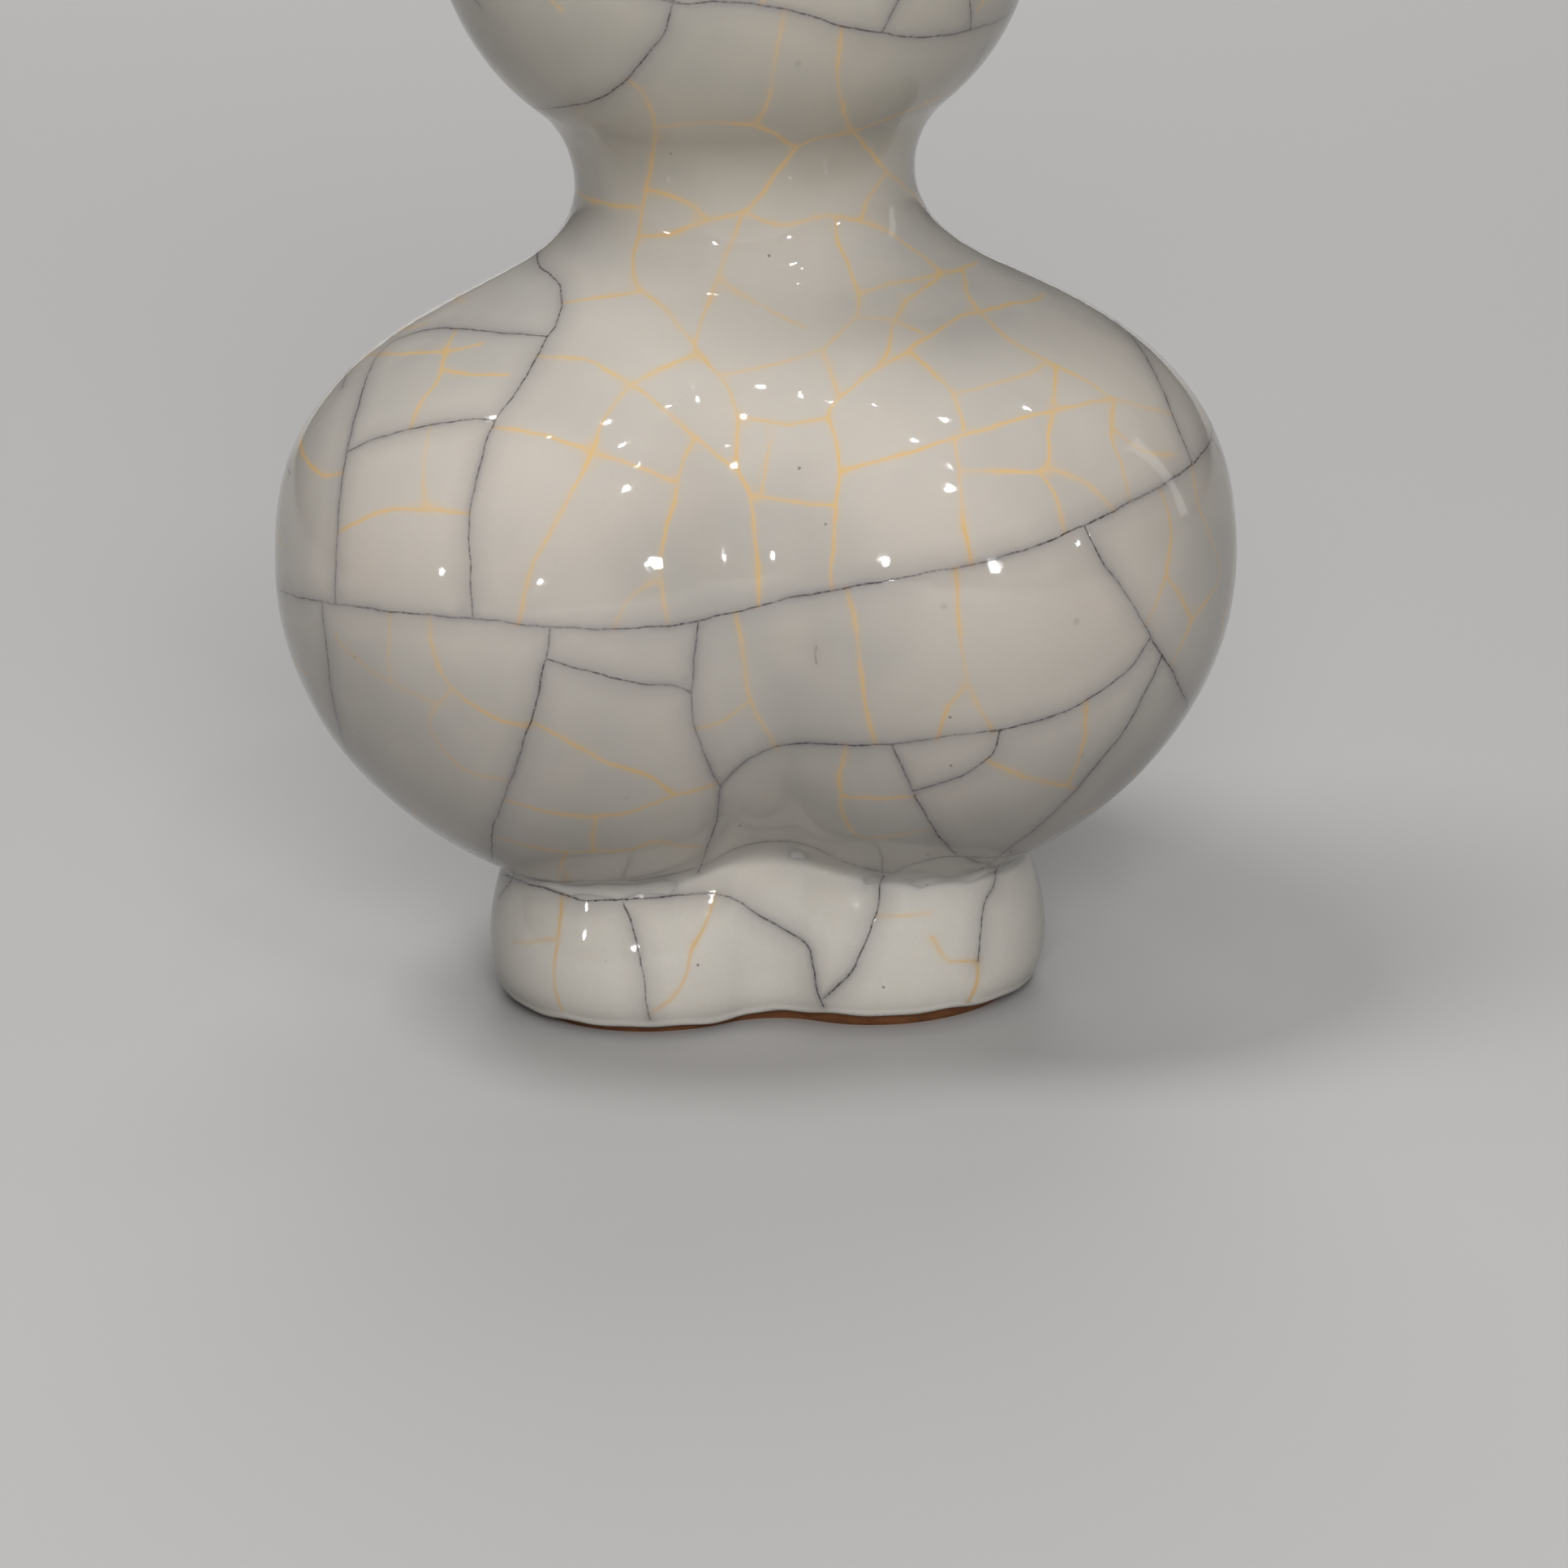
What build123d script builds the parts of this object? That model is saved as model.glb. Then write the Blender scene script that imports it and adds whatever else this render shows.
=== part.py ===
from build123d import *
from math import acos, asin, cos, degrees, radians, sin, sqrt, tan
import os

# Double gourd vase of crackle-glazed stoneware: a lower bulb of three lobes on a trefoil foot,
# a round waist, and a round upper bulb with a short neck and a rolled lip. It is made of clay
# sections stuck together with slip and coated with glaze inside and out.
# Millimetres, +Z up. The origin is on the vase's axis, in the plane that it stands on.
# The groove between the two front lobes faces -Y, and the third lobe is at the back.

# Outside sizes, over the glaze, with the radii of hollows and swells in the vase's section
belly_width = 139.0        # across the two front lobes
belly_height = 68.0
waist_width = 49.0
waist_rise = 52.0          # from the belly up to the waist
waist_hollow_radius = 15.5
bulb_width = 85.6
bulb_side_radius = 33.0
neck_width = 29.0
neck_hollow_radius = 5.0
neck_length = 3.0          # of the neck's straight stretch
lip_bead = 0.8             # how far the lip's clay stands out from the neck's wall

# How the shoulder swings from the belly in to the waist
shoulder_pull = 40.0
waist_pull = 19.6

# The lobes: how far each lobe's own axis stands from the vase's axis, and the radius of the
# hollow in the groove between two lobes, seen from above
belly_lobe_offset = 29.0
floor_lobe_offset = 23.0
foot_lobe_offset = 19.0
belly_groove_radius = 17.4
lower_groove_radius = 7.0  # halfway round from the belly to the floor
floor_groove_radius = 19.2
foot_groove_radius = 9.0   # where the foot is widest
waist_lobe_turn = -8.0     # the round waist has no groove left: its lobes turn away early
lobe_fade = 0.63           # how late the lobes melt together on the way up to the waist

# The foot and the floor
foot_rim_width = 74.0
foot_bulge_width = 80.8
foot_bulge_height = 6.5
foot_neck_width = 78.2
foot_reach = 16.0          # how far the foot runs up past the floor, into the body
foot_wall = 5.0
floor_height = 18.0        # of the glazed underside of the floor
floor_width = 57.9         # of the flat floor, across two lobes
bare_rim_height = 1.8      # left without glaze at the bottom of the foot

# Layers
clay_wall = 4.0
outer_glaze_thickness = 1.2
inner_glaze_thickness = 0.8
base_glaze_thickness = 0.8
lip_glaze_thickness = 0.7
slip_thickness = 0.8

# Where the floor's dish and the waist's collar end
floor_dish_depth = 9.0
collar_drop = 16.0

# How many sections guide each stretch of the lower bulb's surface
lower_sections = 6
shoulder_sections = 9

lobe_angles = {"right": -30.0, "rear": 90.0, "left": 210.0}
sector_half_angle = 180.0 / len(lobe_angles)

# Distances from the vase's outside, in to each face of a layer
clay_face = outer_glaze_thickness
inner_clay_face = clay_face + clay_wall
cavity_face = inner_clay_face + inner_glaze_thickness
foot_hollow_face = clay_face + foot_wall

belly_half = belly_width / 2
waist_half = waist_width / 2
bulb_half = bulb_width / 2
neck_half = neck_width / 2
floor_half = floor_width / 2

# The upper bulb's section has arcs about three centres, each touching the next
waist_height = belly_height + waist_rise
waist_centre_out = waist_half + waist_hollow_radius
bulb_centre_out = bulb_half - bulb_side_radius
neck_centre_out = neck_half + neck_hollow_radius
bulb_rise = sqrt(
    (bulb_side_radius + waist_hollow_radius) ** 2 - (waist_centre_out - bulb_centre_out) ** 2
)
neck_rise = sqrt(
    (bulb_side_radius + neck_hollow_radius) ** 2 - (neck_centre_out - bulb_centre_out) ** 2
)
waist_centre = Vector(waist_centre_out, waist_height)
bulb_centre = Vector(bulb_centre_out, waist_height + bulb_rise)
neck_centre = Vector(neck_centre_out, bulb_centre.Y + neck_rise)
lip_centre = Vector(neck_half - clay_face - clay_wall / 2, neck_centre.Y + neck_length)
lip_clay_radius = clay_wall / 2 + lip_bead
lip_radius = lip_clay_radius + lip_glaze_thickness
total_height = lip_centre.Y + lip_radius
clear_of_all = belly_width + total_height

# Heights of the seams' middles
floor_seam_height = floor_height + floor_dish_depth
shoulder_seam_height = waist_height - collar_drop
mouth_seam_height = neck_centre.Y - neck_hollow_radius


def polar(distance, angle):
    return Vector(distance * cos(radians(angle)), distance * sin(radians(angle)))


def lobe_turn(half_width, offset, groove_radius):
    """How far round its side a lobe goes, past its third of the circle, to meet the groove's hollow."""
    sideways = offset * sin(radians(sector_half_angle))
    return degrees(asin(sideways / (half_width - sideways + groove_radius)))


def trefoil(half_width, offset, turn, height):
    """A level outline of three lobes and three hollows, each an arc that meets the next smoothly."""
    sideways = offset * sin(radians(sector_half_angle))
    forward = offset * cos(radians(sector_half_angle))
    radius = half_width - sideways
    hollow_middle = radius + forward - sideways * tan(radians(turn) / 2)
    reach = sector_half_angle + turn
    arcs = []
    for angle in lobe_angles.values():
        centre = polar(offset, angle)
        next_angle = angle + 2 * sector_half_angle
        hollow_start = centre + polar(radius, angle + reach)
        hollow_end = polar(offset, next_angle) + polar(radius, next_angle - reach)
        arcs.append(CenterArc(centre, radius, angle - reach, 2 * reach))
        arcs.append(
            ThreePointArc(
                hollow_start, polar(hollow_middle, angle + sector_half_angle), hollow_end
            )
        )
    return Wire(arcs).moved(Location((0, 0, height)))


def lower_bulb_stations():
    """Half width, height, outward normal, lobe offset and lobe turn, from the floor to the waist."""
    stations = []
    floor_angle = acos(floor_half / belly_half)
    depth = (belly_height - floor_height) / sin(floor_angle)
    for i in range(lower_sections):
        swing = 1 - i / lower_sections
        angle = floor_angle * swing
        normal = Vector(depth * cos(angle), -belly_half * sin(angle)).normalized()
        floor_share = (1 - cos(angle)) / (1 - cos(floor_angle))
        offset = belly_lobe_offset + (floor_lobe_offset - belly_lobe_offset) * floor_share
        # a curve through the three radii, over the way round
        groove_radius = belly_groove_radius * (1 - swing) * (1 - 2 * swing)
        groove_radius += lower_groove_radius * 4 * swing * (1 - swing)
        groove_radius += floor_groove_radius * swing * (2 * swing - 1)
        point = Vector(belly_half * cos(angle), belly_height - depth * sin(angle))
        turn = lobe_turn(point.X, offset, groove_radius)
        stations.append((point, normal, offset, turn))
    belly_lobe_turn = lobe_turn(belly_half, belly_lobe_offset, belly_groove_radius)
    shoulder = Bezier(
        (belly_half, belly_height),
        (belly_half, belly_height + shoulder_pull),
        (waist_half, waist_height - waist_pull),
        (waist_half, waist_height),
    )
    for i in range(shoulder_sections + 1):
        place = i / shoulder_sections
        point = shoulder @ place
        tangent = shoulder % place
        normal = Vector(tangent.Y, -tangent.X)
        fullness = max((point.X - waist_half) / (belly_half - waist_half), 0) ** lobe_fade
        turn = waist_lobe_turn + (belly_lobe_turn - waist_lobe_turn) * fullness
        stations.append((point, normal, belly_lobe_offset * fullness, turn))
    return stations


def lower_bulb(depth):
    """The lower bulb from floor to waist, as a filled solid, this deep inside the vase's outside."""
    outlines = []
    for point, normal, offset, turn in lower_bulb_stations():
        place = point - normal * depth
        outlines.append(trefoil(place.X, offset, turn, place.Y))
    return Solid.make_loft(outlines)


def foot(depth):
    """The foot from its rim up into the body, as a filled solid, this deep inside its outside."""
    sizes = [
        (foot_rim_width, 0),
        (foot_bulge_width, foot_bulge_height),
        (foot_neck_width, floor_height),
        (foot_neck_width, floor_height + foot_reach),
    ]
    turn = lobe_turn(foot_bulge_width / 2, foot_lobe_offset, foot_groove_radius)
    return Solid.make_loft(
        [trefoil(w / 2 - depth, foot_lobe_offset, turn, z) for w, z in sizes]
    )


def between(low, high):
    """Everything between two heights."""
    block = Box(clear_of_all, clear_of_all, high - low, align=(Align.CENTER, Align.CENTER, Align.MIN))
    return Pos(0, 0, low) * block


def sector(angle):
    """One lobe's third of the space, held back from the groove planes by half a slip layer."""
    corners = [(0, 0)]
    for side in (-1, 0, 1):
        corner = polar(clear_of_all, angle + side * sector_half_angle)
        corners.append((corner.X, corner.Y))
    wedge = extrude(make_face(Polyline(*corners, close=True)), total_height)
    set_back = polar(slip_thickness / 2 / sin(radians(sector_half_angle)), angle)
    return Pos(set_back.X, set_back.Y, 0) * wedge


def groove_slabs():
    """The three upright slip layers, one in each groove plane, before they are cut to the wall."""
    slabs = []
    for angle in lobe_angles.values():
        slab = Box(
            clear_of_all, slip_thickness, total_height, align=(Align.MIN, Align.CENTER, Align.MIN)
        )
        slabs.append(Rot(0, 0, angle + sector_half_angle) * slab)
    return slabs


def upper_bulb_face(depth):
    """Half of the upper bulb's section, from the waist to the lip's middle, filled to the axis."""
    to_bulb = (bulb_centre - waist_centre).normalized()
    to_neck = (neck_centre - bulb_centre).normalized()
    waist_radius = waist_hollow_radius + depth
    bulb_radius = bulb_side_radius - depth
    neck_radius = neck_hollow_radius + depth
    waist_swing = (to_bulb + Vector(-1, 0)).normalized()
    neck_swing = (Vector(-1, 0) - to_neck).normalized()
    waist_point = waist_centre + Vector(-waist_radius, 0)
    bulb_start = bulb_centre - to_bulb * bulb_radius
    bulb_end = bulb_centre + to_neck * bulb_radius
    neck_point = neck_centre + Vector(-neck_radius, 0)
    rim_point = Vector(neck_half - depth, lip_centre.Y)
    edges = [
        ThreePointArc(waist_point, waist_centre + waist_swing * waist_radius, bulb_start),
        ThreePointArc(bulb_start, bulb_centre + Vector(bulb_radius, 0), bulb_end),
        ThreePointArc(bulb_end, neck_centre + neck_swing * neck_radius, neck_point),
        Polyline(neck_point, rim_point, (0, lip_centre.Y), (0, waist_height), waist_point),
    ]
    return make_face(edges)


def section_between(low, high, outer=clear_of_all):
    """A half section's band between two heights, out to a radius."""
    return make_face(Polyline((0, low), (outer, low), (outer, high), (0, high), close=True))


def spin(section):
    """A half section, drawn as radius and height, turned about the vase's axis."""
    return revolve(Plane.XZ * section, Axis.Z)


def save(name, shape):
    """Each sub-part is one file, named for the sub-part."""
    shape.label = name
    export_step(shape, f"parts/{name}.step")
    print(name, "solids:", len(shape.solids()))


os.makedirs("parts", exist_ok=True)

# The lower bulb, the foot and the hollow under it
body_outside = lower_bulb(0)
body_clay = lower_bulb(clay_face)
body_lining = lower_bulb(inner_clay_face)
body_cavity = lower_bulb(cavity_face)
body_bed = lower_bulb(clay_face - slip_thickness)
body_under_glaze = lower_bulb(clay_face - base_glaze_thickness)
foot_clay = foot(clay_face)
hollow = foot(foot_hollow_face)
body_wall = body_clay - body_lining

foot_seat = foot_clay - hollow
save("foot_ring", foot_seat - body_bed)
save("foot_seam_slip", (foot_seat & body_bed) - body_clay)

# Level seams of the lower bulb, each a slip layer about its height, the waist's just below it
half_slip = slip_thickness / 2
floor_seam = between(floor_seam_height - half_slip, floor_seam_height + half_slip)
belly_seam = between(belly_height - half_slip, belly_height + half_slip)
shoulder_seam = between(shoulder_seam_height - half_slip, shoulder_seam_height + half_slip)
waist_seam = between(waist_height - slip_thickness, waist_height)
save("base_floor", body_wall & between(0, floor_seam_height - half_slip))
save("floor_seam_slip", body_wall & floor_seam)
save("belly_seam_slip", body_wall & belly_seam)
save("shoulder_seam_slip", body_wall & shoulder_seam)
save("waist_seam_slip", body_wall & waist_seam)
collar_space = between(shoulder_seam_height + half_slip, waist_height - slip_thickness)
save("waist_collar", body_wall & collar_space)

# The two storeys of lobes and the slip in their grooves
storeys = {
    "lower": (floor_seam_height + half_slip, belly_height - half_slip),
    "upper": (belly_height + half_slip, shoulder_seam_height - half_slip),
}
for storey, (low, high) in storeys.items():
    storey_wall = body_wall & between(low, high)
    for side, angle in lobe_angles.items():
        save(f"{storey}_lobe_{side}", storey_wall & sector(angle))
    save(f"{storey}_groove_slip", Compound([storey_wall & slab for slab in groove_slabs()]))

# The upper bulb's clay and slip, cut from its section
lip_place = Pos(lip_centre.X, lip_centre.Y)
clay_section = upper_bulb_face(clay_face) - upper_bulb_face(inner_clay_face)
clay_section += lip_place * Circle(lip_clay_radius)
upper_bands = {
    "bulb_lower": (waist_height, bulb_centre.Y - half_slip),
    "bulb_seam_slip": (bulb_centre.Y - half_slip, bulb_centre.Y + half_slip),
    "bulb_upper": (bulb_centre.Y + half_slip, mouth_seam_height - half_slip),
    "mouth_seam_slip": (mouth_seam_height - half_slip, mouth_seam_height + half_slip),
    "mouth_ring": (mouth_seam_height + half_slip, total_height),
}
for name, (low, high) in upper_bands.items():
    save(name, spin(clay_section & section_between(low, high)))

# The glaze: one coat outside from the bare rim to the top of the lip, one inside, one under
glaze_section = upper_bulb_face(0) - upper_bulb_face(cavity_face)
glaze_section += lip_place * Circle(lip_radius)
glaze_section -= clay_section
inner_half = upper_bulb_face(clay_face + clay_wall / 2)
inner_half += section_between(lip_centre.Y, total_height, lip_centre.X)
above_rim = between(bare_rim_height, waist_height)
lower_coat = ((body_outside + foot(0)) - body_clay - foot_clay) & above_rim
save("outer_glaze", lower_coat + spin(glaze_section - inner_half))
save("inner_glaze", (body_lining - body_cavity) + spin(glaze_section & inner_half))
under_space = hollow - body_clay
under_room = foot(foot_hollow_face + base_glaze_thickness) - body_under_glaze
save("base_glaze", (under_space - under_room) & above_rim)
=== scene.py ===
import bpy
import math
import numpy as np
from mathutils import Matrix, Vector
from mathutils.geometry import delaunay_2d_cdt
from mathutils.kdtree import KDTree


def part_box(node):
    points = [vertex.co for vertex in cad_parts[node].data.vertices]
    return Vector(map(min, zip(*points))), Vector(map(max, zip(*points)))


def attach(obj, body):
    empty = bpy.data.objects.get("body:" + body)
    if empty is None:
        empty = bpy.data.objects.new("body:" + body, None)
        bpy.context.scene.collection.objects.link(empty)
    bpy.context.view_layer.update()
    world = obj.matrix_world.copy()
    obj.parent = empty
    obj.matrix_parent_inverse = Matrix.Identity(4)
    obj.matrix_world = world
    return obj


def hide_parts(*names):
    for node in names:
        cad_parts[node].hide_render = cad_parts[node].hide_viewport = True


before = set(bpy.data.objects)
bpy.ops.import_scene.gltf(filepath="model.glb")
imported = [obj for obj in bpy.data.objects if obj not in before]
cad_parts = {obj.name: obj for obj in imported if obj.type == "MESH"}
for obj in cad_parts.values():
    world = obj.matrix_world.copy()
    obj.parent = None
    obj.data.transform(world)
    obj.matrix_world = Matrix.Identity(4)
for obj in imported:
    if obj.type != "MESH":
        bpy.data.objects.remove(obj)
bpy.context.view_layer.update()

# Double gourd vase, dressed: the crackled glaze coat is modelled here over the CAD sections,
# the bare foot, the inside and the hidden clay keep their CAD solids and get their finishes.
# Shapes are worked out in millimetres and made in metres.

bpy.ops.object.select_all(action="DESELECT")
mm = 0.001
print("frame loaded:", len(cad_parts), "nodes")

# Camera at the photograph's angle, in its 1932 pixel square frame
photoView = {
    "framePixels": 1932,
    "lookAt": (3.1, 0.0, 27.8),
    "elevation": 18.0,
    "distance": 1200.0,
    "roll": 1.7,              # the vase leans a little to the left in the picture
    "pixelsPerMm": 8.36,      # at the vase's axis
    "sensorWidth": 36.0,
    "clipEnd": 50.0,
    "frameMargin": 8,         # spots this near the top edge count as unseen
}


def cameraAxes():
    lift = math.radians(photoView["elevation"])
    roll = math.radians(photoView["roll"])
    side = np.array([1.0, 0.0, 0.0])
    up = np.array([0.0, math.sin(lift), math.cos(lift)])
    forward = np.array([0.0, math.cos(lift), -math.sin(lift)])
    right = side * math.cos(roll) - up * math.sin(roll)
    top = up * math.cos(roll) + side * math.sin(roll)
    place = np.array(photoView["lookAt"]) - forward * photoView["distance"]
    return place, right, top, forward


def addCamera():
    place, right, top, forward = cameraAxes()
    bpy.ops.object.camera_add()
    camera = bpy.context.object
    camera.name = "photoCamera"
    turn = Matrix((right, top, -forward)).transposed()
    camera.matrix_world = Matrix.Translation(Vector(place * mm)) @ turn.to_4x4()
    camera.data.sensor_width = photoView["sensorWidth"]
    camera.data.lens = focalPixels / photoView["framePixels"] * photoView["sensorWidth"]
    camera.data.clip_end = photoView["clipEnd"]
    bpy.context.scene.camera = camera
    print("camera lens:", round(camera.data.lens, 1), "mm")


focalPixels = photoView["pixelsPerMm"] * photoView["distance"]
addCamera()

# The vase's outside, over the glaze: main sizes from the frame, the way it swings between them here
glazeThickness = 1.2
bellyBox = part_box("belly_seam_slip")
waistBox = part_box("waist_seam_slip")
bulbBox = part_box("bulb_seam_slip")
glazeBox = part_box("outer_glaze")
vaseForm = {
    "bellyHalf": glazeBox[1][0] / mm,
    "bellyHeight": (bellyBox[0][2] + bellyBox[1][2]) / 2 / mm,
    "waistHalf": waistBox[1][0] / mm + glazeThickness,
    "waistHeight": waistBox[1][2] / mm,
    "bulbHalf": bulbBox[1][0] / mm + glazeThickness,
    "bulbHeight": (bulbBox[0][2] + bulbBox[1][2]) / 2 / mm,
    "totalHeight": glazeBox[1][2] / mm,
    "rimHeight": glazeBox[0][2] / mm,
    "bulbSideRadius": 33.0,
    "waistHollowRadius": 15.5,
    "neckHalf": 14.5,
    "neckHollowRadius": 5.0,
    "lipRadius": 3.5,
    "lipClayRadius": 2.8,
    "lipClayHalf": 2.0,       # from the neck's clay to the middle of the lip
    "shoulderPull": 40.0,
    "waistPull": 19.6,
    "bellyLobeOffset": 29.0,
    "floorLobeOffset": 23.0,
    "footLobeOffset": 19.0,
    "bellyGrooveRadius": 17.4,
    "lowerGrooveRadius": 7.0,
    "floorGrooveRadius": 19.2,
    "footGrooveRadius": 9.0,
    "waistLobeTurn": math.radians(-8.0),
    "lobeFade": 0.63,
    "floorHeight": 18.0,
    "floorHalf": 28.95,
    "footHalves": (37.0, 40.4, 39.1, 39.1),
    "footHeights": (0.0, 6.5, 18.0, 34.0),
    "creaseSoftness": 3.2,    # how far the glaze fills the crease above the foot
    "poolDepth": 3.0,         # glaze pooled in the hollows at the top of the foot
    "poolWidth": math.radians(16.0),
    "poolHeights": (8.0, 25.0),
    "creaseHigh": 1.7,        # and on the right front lobe
    "creaseHighAngle": math.radians(-48.0),
    "creaseHighWidth": math.radians(22.0),
    "edgeSwell": 0.6,         # glaze run down to its lower edge
    "edgeSwellTop": 3.0,
    "edgeSwellFade": 4.0,
    "uneven": 0.10,           # slow hand-made unevenness, in waves: share, turns, change with height, start
    "waves": ((1.0, 2, 0.071, 0.6), (1.0, 3, -0.11, 2.1), (0.7, 5, 0.19, 0.0), (0.6, 7, -0.27, 1.0)),
    "unevenFade": (4.0, 10.0, 12.0),   # none this near the rim and the lip, growing over these heights
    "edgeUneven": 0.40,       # how the glaze's lower edge wanders, in waves: share, turns, start
    "edgeWaves": ((1.0, 4, 0.4), (0.8, 9, 2.0), (0.6, 17, 4.1), (0.5, 29, 1.3)),
    "edgeHigh": 0.8,          # it stands higher round here
    "edgeHighAngle": math.radians(-60.0),
    "edgeHighWidth": math.radians(24.0),
    "edgeFade": 6.0,
    "leastTurn": 0.004,       # a hollow is never straighter than this
    "tableSteps": (400, 600),  # below and above the belly
}
lobeAxis = math.radians(-30.0)
third = 2 * math.pi / 3


def lobeTurn(halfWidth, offset, grooveRadius):
    sideways = offset * math.sin(third / 2)
    return np.arcsin(sideways / (halfWidth - sideways + grooveRadius))


def lobedRadius(angle, halfWidth, offset, turn):
    # distance from the vase's axis to an outline of three lobes and three hollows
    sideways = offset * math.sin(third / 2)
    lobe = halfWidth - sideways
    off = np.abs((angle - lobeAxis + third / 2) % third - third / 2)
    fromGroove = third / 2 - off
    onLobe = offset * np.cos(off) + np.sqrt(np.maximum(lobe**2 - (offset * np.sin(off)) ** 2, 0))
    least = vaseForm["leastTurn"]
    bend = np.where(np.abs(turn) < least, least, turn)
    reach = sideways / np.sin(bend)
    hollow = reach - lobe
    middle = offset * math.cos(third / 2) + reach * np.cos(bend)
    root = np.sqrt(np.maximum(hollow**2 - (middle * np.sin(fromGroove)) ** 2, 0))
    inGroove = middle * np.cos(fromGroove) - np.sign(hollow) * root
    touch = np.arctan2(lobe * np.sin(third / 2 + turn), offset + lobe * np.cos(third / 2 + turn))
    return np.where(off <= touch, onLobe, inGroove)


def lowerBulbTable():
    # height, half width, lobe offset and lobe turn, from the floor up to the waist
    f = vaseForm
    swing = np.linspace(1, 0, f["tableSteps"][0])
    floorAngle = math.acos(f["floorHalf"] / f["bellyHalf"])
    angle = floorAngle * swing
    depth = (f["bellyHeight"] - f["floorHeight"]) / math.sin(floorAngle)
    share = (1 - np.cos(angle)) / (1 - math.cos(floorAngle))
    offset = f["bellyLobeOffset"] + (f["floorLobeOffset"] - f["bellyLobeOffset"]) * share
    groove = f["bellyGrooveRadius"] * (1 - swing) * (1 - 2 * swing)
    groove = groove + f["lowerGrooveRadius"] * 4 * swing * (1 - swing)
    groove = groove + f["floorGrooveRadius"] * swing * (2 * swing - 1)
    half = f["bellyHalf"] * np.cos(angle)
    low = np.stack([
        f["bellyHeight"] - depth * np.sin(angle),
        half,
        offset,
        lobeTurn(half, offset, groove),
    ])
    u = np.linspace(0, 1, f["tableSteps"][1])[1:]
    pulls = ((1 - u) ** 3, 3 * u * (1 - u) ** 2, 3 * u**2 * (1 - u), u**3)
    heights = (f["bellyHeight"], f["bellyHeight"] + f["shoulderPull"],
               f["waistHeight"] - f["waistPull"], f["waistHeight"])
    halves = (f["bellyHalf"], f["bellyHalf"], f["waistHalf"], f["waistHalf"])
    half = sum(p * w for p, w in zip(pulls, halves))
    full = np.maximum((half - f["waistHalf"]) / (f["bellyHalf"] - f["waistHalf"]), 0) ** f["lobeFade"]
    bellyTurn = lobeTurn(f["bellyHalf"], f["bellyLobeOffset"], f["bellyGrooveRadius"])
    high = np.stack([
        sum(p * z for p, z in zip(pulls, heights)),
        half,
        f["bellyLobeOffset"] * full,
        f["waistLobeTurn"] + (bellyTurn - f["waistLobeTurn"]) * full,
    ])
    return np.concatenate([low, high], axis=1)


lowerTable = lowerBulbTable()
footCurve = np.polyfit(vaseForm["footHeights"], vaseForm["footHalves"], 3)
footTurn = lobeTurn(vaseForm["footHalves"][1], vaseForm["footLobeOffset"], vaseForm["footGrooveRadius"])
waistCentre = (vaseForm["waistHalf"] + vaseForm["waistHollowRadius"], vaseForm["waistHeight"])
bulbCentre = (vaseForm["bulbHalf"] - vaseForm["bulbSideRadius"], vaseForm["bulbHeight"])
neckOut = vaseForm["neckHalf"] + vaseForm["neckHollowRadius"]
neckReach = vaseForm["bulbSideRadius"] + vaseForm["neckHollowRadius"]
neckCentre = (neckOut, bulbCentre[1] + math.sqrt(neckReach**2 - (neckOut - bulbCentre[0]) ** 2))
lipHeight = vaseForm["totalHeight"] - vaseForm["lipRadius"]
lipOut = vaseForm["neckHalf"] - glazeThickness - vaseForm["lipClayHalf"]
waistShare = vaseForm["waistHollowRadius"] / (vaseForm["waistHollowRadius"] + vaseForm["bulbSideRadius"])
bulbStart = waistCentre[1] + (bulbCentre[1] - waistCentre[1]) * waistShare
bulbEnd = bulbCentre[1] + (neckCentre[1] - bulbCentre[1]) * vaseForm["bulbSideRadius"] / neckReach


def arcSide(centre, radius, z, side):
    return centre[0] + side * np.sqrt(np.maximum(radius**2 - (z - centre[1]) ** 2, 0))


def upperRadius(z):
    # the round part from the waist to the lip
    f = vaseForm
    inWaist = arcSide(waistCentre, f["waistHollowRadius"], z, -1)
    onBulb = arcSide(bulbCentre, f["bulbSideRadius"], z, 1)
    inNeck = arcSide(neckCentre, f["neckHollowRadius"], z, -1)
    onLip = arcSide((lipOut, lipHeight), f["lipRadius"], z, 1)
    stretches = [z < bulbStart, z < bulbEnd, z < neckCentre[1]]
    radius = np.select(stretches, [inWaist, onBulb, inNeck], f["neckHalf"])
    return np.where(z > neckCentre[1], np.maximum(radius, onLip), radius)


def turnFrom(angle, middle):
    return (angle - middle + math.pi) % (2 * math.pi) - math.pi


def edgeSwell(z):
    above = np.maximum(z - vaseForm["edgeSwellTop"], 0) / vaseForm["edgeSwellFade"]
    return vaseForm["edgeSwell"] * np.exp(-(above**2))


def footPool(angle, z):
    # the extra glaze at the top of the foot
    fromGroove = third / 2 - np.abs((angle - lobeAxis + third / 2) % third - third / 2)
    depth = vaseForm["poolDepth"] * np.exp(-((fromGroove / vaseForm["poolWidth"]) ** 2))
    high = turnFrom(angle, vaseForm["creaseHighAngle"]) / vaseForm["creaseHighWidth"]
    depth = depth + vaseForm["creaseHigh"] * np.exp(-(high**2))
    low, top = vaseForm["poolHeights"]
    share = np.clip((z - low) / (top - low), 0, 1)
    return depth * share**2 * (3 - 2 * share)


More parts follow.
